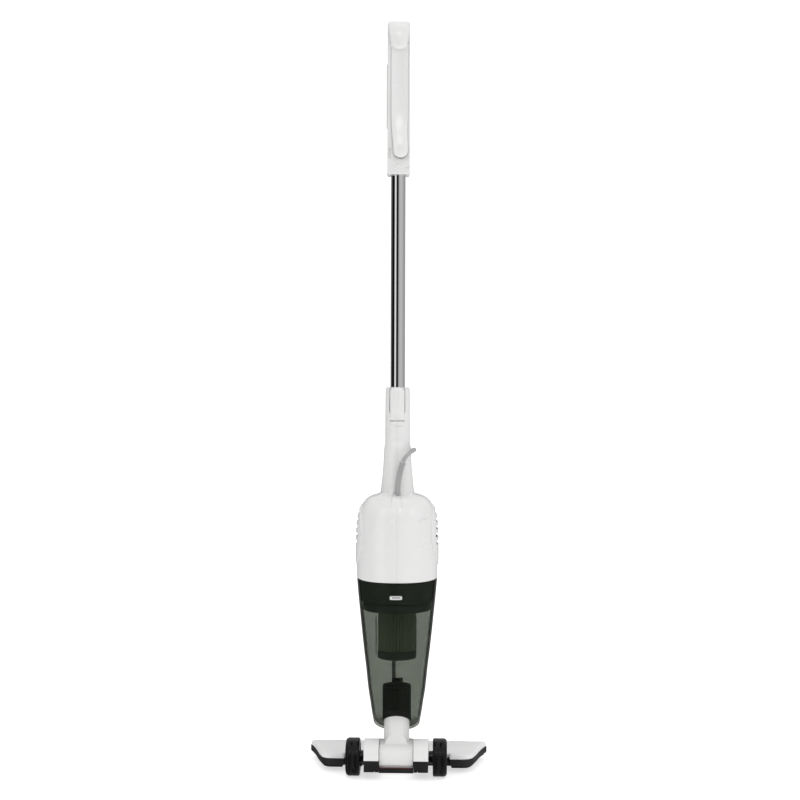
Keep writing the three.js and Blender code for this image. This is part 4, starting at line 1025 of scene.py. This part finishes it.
bs = brush()
piece(bs, "floor_head", "bristle", "brush_strip")
base = prism("brush_base", rounded([(-108, 92.6), (108, 92.6), (108, 98), (-108, 98)], 0.8), 4.9, 5.7, "Z", "black")
bevel(base, 0.2, 2, 50)
piece(base, "floor_head", "black_plastic")
lint = prism("lint_strip_fine", rounded([(60.5, 5.7), (60.5, 4.6), (61.6, 3.6), (63, 3.4), (65, 3.7), (66.5, 5.0), (66.5, 5.7)], 0.3), -104, 104, "X", "rubber")
bevel(lint, 0.3, 2, 50)
piece(lint, "floor_head", "soft_black", "lint_strip")

# ---------------------------------------------------------------- tilting neck
neck = turned("neck_tube_fine", [(0, 27.5), (18.75, 27.5), (18.75, 127.2), (18.2, 128), (0, 128)], "white", seg=128)
barrel = turned("barrel", [(0, -24.8), (20.8, -24.8), (21.7, -24.4), (22, -23.6), (22, 23.6), (21.7, 24.4), (20.8, 24.8), (0, 24.8)], None, 0, PIVOT_Y, PIVOT_Z, "X", 128)
plate = prism("plate", rounded([(-30, 20), (-8, 20), (-1, 30), (-1, 50), (-19, 50), (-24.6, 46.6), (-29.6, 40.4), (-30, 30)], [1.4, 0, 0, 0, 3, 3, 2, 0], 5), -24.5, 24.5, "X", None)
neck = combine(neck, [barrel], "UNION")
neck = combine(neck, [plate], "UNION")
gusset = loft("gusset", [[(x, y, z) for x, y in ((-w, -d), (w, -d), (w, 0), (-w, 0))] for z, w, d in ((44, 17.4, 21.4), (50, 16.6, 20.2), (56, 14, 18.9), (62, 10, 17.2))], None)
neck = combine(neck, [gusset], "UNION")
neck = combine(neck, [turned("c", [(0, 34), (16.2, 34), (16.2, 130), (0, 130)], None, seg=96), block("c", -14, 14, -4, 30, 20, 40), turned("c", [(0, -40), (3.3, -40), (3.3, 40), (0, 40)], None, 0, PIVOT_Y, PIVOT_Z, "X", 32),
    turned("c", [(17.6, 120.2), (30, 120.2), (30, 123.8), (17.6, 123.8)], None, seg=96)])
bevel(neck, 0.5, 3, 50)
piece(neck, "neck", "white_plastic", "neck_tube")
seal = turned("neck_seal_fine", [(17.9, 120.6), (18.7, 120.6), (19.0, 121.2), (19.05, 122), (19.0, 122.8), (18.7, 123.4), (17.9, 123.4)], "rubber", seg=96)
piece(seal, "neck", "soft_black", "neck_seal")

# ---------------------------------------------------------------- handle
LOOP = [(-17, 884.4), (17, 884.4), (18.6, 940), (34, 962), (60, 978), (72, 1008), (72, 1036), (62, 1070), (38, 1097), (6, 1109), (-12, 1110), (-20, 1106), (-22, 1090), (-19.5, 1060), (-16.5, 1000), (-17.5, 950), (-18, 930)]
LOOP_R = [3, 3, 12, 16, 18, 18, 18, 22, 24, 10, 6, 6, 6, 12, 12, 10, 8]
HOLE = [(9, 962), (30, 972), (49, 988), (54, 1008), (53, 1034), (42, 1058), (18, 1070), (8, 1058), (7, 1000)]
HH = 16.6
SKEW = math.radians(2.2)  # the handle sits a little turned on the round rod


def skewed(o):
    c, s = math.cos(SKEW), math.sin(SKEW)
    o.data.transform(Matrix.Translation((0, SY, 0)) @ Matrix.Rotation(SKEW, 4, "Z") @ Matrix.Translation((0, -SY, 0)))
    return o


handle = prism("handle_shell_fine", rounded(LOOP, LOOP_R, 8), -HH, HH, "X", "white_gloss")
handle = combine(handle, prism("c", rounded(HOLE, [6, 8, 8, 8, 10, 12, 10, 8, 10], 8), -30, 30, "X", None))
front = rounded([(-HH, 884.4), (HH, 884.4), (HH + 0.01, 1000), (HH, 1110), (-HH, 1110), (-HH - 0.01, 1000)], [4, 4, 0, 7.5, 7.5, 0], 8)
handle = combine(handle, prism("c", front, -60, 100, "Y", None), "INTERSECT")
bevel(handle, 4.2, 8, 50)


def strip_half(z):
    """Half width of the inset strip on the rear of the handle."""
    if z < 918:
        return 11.0 * math.sqrt(max(0.0, 1 - ((918 - z) / 11.6) ** 2))
    return 11.0 + 1.4 * smooth((z - 918) / 60)


ZS = [906.45, 906.7, 907.2, 908, 909, 910.5, 912, 914, 916, 918] + spread(922, 1073, 38)


def strip_x(z):
    """The strip runs a little to the right, more so at its lower end."""
    return 1.3 + 1.7 * (1 - smooth((z - 915) / 45))


outline = [(strip_x(z) - (strip_half(z) + 0.22), z) for z in ZS] + [(strip_x(z) + (strip_half(z) + 0.22), z) for z in ZS[::-1]]
outline = [(-12.8, 1099.5)] + [(x, z) for x, z in outline[:len(ZS)][::-1]] + [(x, z) for x, z in outline[len(ZS):][::-1]] + [(12.8, 1099.5)]
handle = combine(handle, turned("c", [(0, 870), (11.0, 870), (11.0, 925), (0, 925)], None, seg=64))
handle = combine(handle, prism("c", outline, -40, -14.2, "Y", None))
handle = combine(handle, prism("c", [(8.4, 893.4), (15.6, 896.6), (15.0, 891.8)], -40, -16.4, "Y", None))
for gx in (-14.3, -12.4):
    g = loft("c", [[(gx + 0.45 * math.cos(a) + 0.9 * ((z - 914) / 8) ** 2, -17.3 + 1.1 * math.sin(a), z) for a in [k * math.pi / 4 for k in range(8)]] for z in spread(906.5, 922, 9)], None)
    handle = combine(handle, g)
bevel(handle, 0.4, 2, 60)
skewed(handle)
piece(handle, "handle", "white_plastic", "handle_shell")


def strip_y(z):
    """Depth of the strip's middle line, from the lower end up to the thumb rest."""
    pts = [(906, -18.2), (909, -24.5), (914, -28.6), (920, -29.6), (930, -28.2), (945, -24.6), (958, -21.6), (975, -19.4), (1000, -18.7), (1030, -19.2), (1055, -20.6), (1068, -21.6)]
    for (z0, a), (z1, b) in zip(pts[:-1], pts[1:]):
        if z <= z1:
            return a + (b - a) * smooth((z - z0) / (z1 - z0)) if z1 - z0 < 6 else a + (b - a) * (z - z0) / (z1 - z0)
    return pts[-1][1]


def strip():
    rings = []
    nu = 28
    for z in ZS:
        hw = max(0.6, strip_half(z))
        y0 = sum(strip_y(z + dz) for dz in (-4, -2, 0, 2, 4)) / 5 if 912 < z < 1064 else strip_y(z)
        hollow_k = smooth((z - 944) / 30)
        ring = []
        for i in range(nu + 1):
            u = -1 + 2 * i / nu
            bulge = 2.4 * (1 - hollow_k) * u * u - 1.9 * hollow_k * (u * u)
            side = 1.4 * max(0.0, (abs(u) - 0.86) / 0.14) ** 2
            ridge = -0.45 * (1 - hollow_k) * bell((z - 940) / 26) * (bell((u + 0.45) / 0.12) + 0.7 * bell((u - 0.3) / 0.12))
            ring.append((strip_x(z) + hw * u, y0 + bulge + side + ridge, z))
        ring += [(strip_x(z) + hw * k, -15.2, z) for k in (0.98, 0.33, -0.33, -0.98)]
        rings.append(ring)
    return loft("handle_cover_fine", rings, "white_gloss", angle=50)


cover = strip()
cover = combine(cover, prism("c", [(-22.6, 890), (-22.6, 919), (-19.6, 926), (-10, 926), (-10, 890)], -20, 20, "X", None))
skewed(cover)
piece(cover, "handle", "white_plastic", "handle_cover")


def thumb_rest():
    """A proud shield at the top of the strip: wide and rounded above, narrower below, with an arched lip."""
    rings = []
    nu = 32
    for s in [0, 0.006, 0.02, 0.045, 0.08, 0.14, 0.22, 0.32, 0.42, 0.52, 0.62, 0.72, 0.81, 0.88, 0.93, 0.965, 0.985, 1.0]:
        hw = 12.2 + 4.1 * smooth(s / 0.85)
        hw *= 1 - 0.16 * max(0.0, (s - 0.93) / 0.07) ** 2 if s > 0.93 else 1
        hw *= 1 - 0.16 * (1 - min(1, s / 0.08)) ** 2
        z0 = 1065.6 + 39.4 * s
        cx = 0.9 * (1 - s)
        proud = [(0, -22.6), (0.006, -24.5), (0.02, -27.2), (0.045, -29.4), (0.08, -30.9), (0.14, -31.9), (0.3, -32.4), (0.55, -32.0), (0.72, -30.6), (0.85, -28.4), (0.93, -26.4), (0.985, -23.6), (1.0, -21.2)]
        y0 = proud[-1][1]
        for (a, ya), (b, yb) in zip(proud[:-1], proud[1:]):
            if s <= b:
                y0 = ya + (yb - ya) * (s - a) / (b - a)
                break
        ring = []
        for i in range(nu + 1):
            u = -1 + 2 * i / nu
            z = z0 + 3.2 * u * u * (1 - s) - 1.0 * s * u ** 6
            y = y0 + 2.6 * u * u + 2.6 * max(0.0, (abs(u) - 0.8) / 0.2) ** 2
            ring.append((cx + hw * u, min(y, -19.8), z))
        ring += [(hw * 0.98, -16.5, z0 + 2.4 * (1 - s)), (hw * 0.33, -16.5, z0 + 1.0 * (1 - s)), (-hw * 0.33, -16.5, z0 + 1.0 * (1 - s)), (-hw * 0.98, -16.5, z0 + 2.4 * (1 - s))]
        rings.append(ring)
    return loft("handle_thumb_rest", rings, "white_gloss", angle=60)


# painted shade: a grey strip down the handle's left rear edge stands for the shadowed far side of the loop seen past
# the near bar
edge = block("handle_painted_shade_strip", -17.5, -15.6, -15.4, -12.6, 951, 1045, "grey")
bevel(edge, 0.3, 2, 50)
skewed(edge)
piece(edge, "handle", "white_plastic")
rest = skewed(thumb_rest())
piece(rest, "handle", "white_plastic")
cap = turned("handle_screw_cap", [(0, -18.6), (1.6, -18.5), (2.6, -18.2), (2.9, -17.8), (2.9, -16.8), (0, -16.8)], "white", 0, 0, 896, "Y", 48)
skewed(cap)
piece(cap, "handle", "plain_steel", "handle_screw")

# ---------------------------------------------------------------- the CAD's own nodes that still show get node materials
LOOKS = {"white_plastic": "white", "black_plastic": "black", "tyre_rubber": "tyre", "soft_black": "rubber", "smoke_clear": "smoke", "bright_steel": "chrome", "plain_steel": "steel", "grey_plastic": "grey", "cord_grey": "cord", "filter_paper": "paper", "copper_core": "copper", "bristle": "bristle"}
SLOT_OF = {s["node"]: s.get("material_slot") for s in frame["record"]["subparts"]} if "subparts" in frame["record"] else {}
CARRY = {"motor_can": "steel", "motor_rotor": "copper", "fan_impeller": "black", "fan_cover": "black", "motor_mount": "rubber", "switch_module": "black", "cable_clamp": "black", "rod_plug": "black", "flap_pin": "steel", "handle_screw": "steel", "shell_screw_a": "steel", "shell_screw_b": "steel", "shell_screw_c": "steel", "yoke_screw_left": "steel", "yoke_screw_right": "steel"}
for name, o in frame["nodes"].items():
    look = CARRY.get(name) or LOOKS.get(SLOT_OF.get(name), "black")
    for sl in o.material_slots:
        sl.material = M[look]
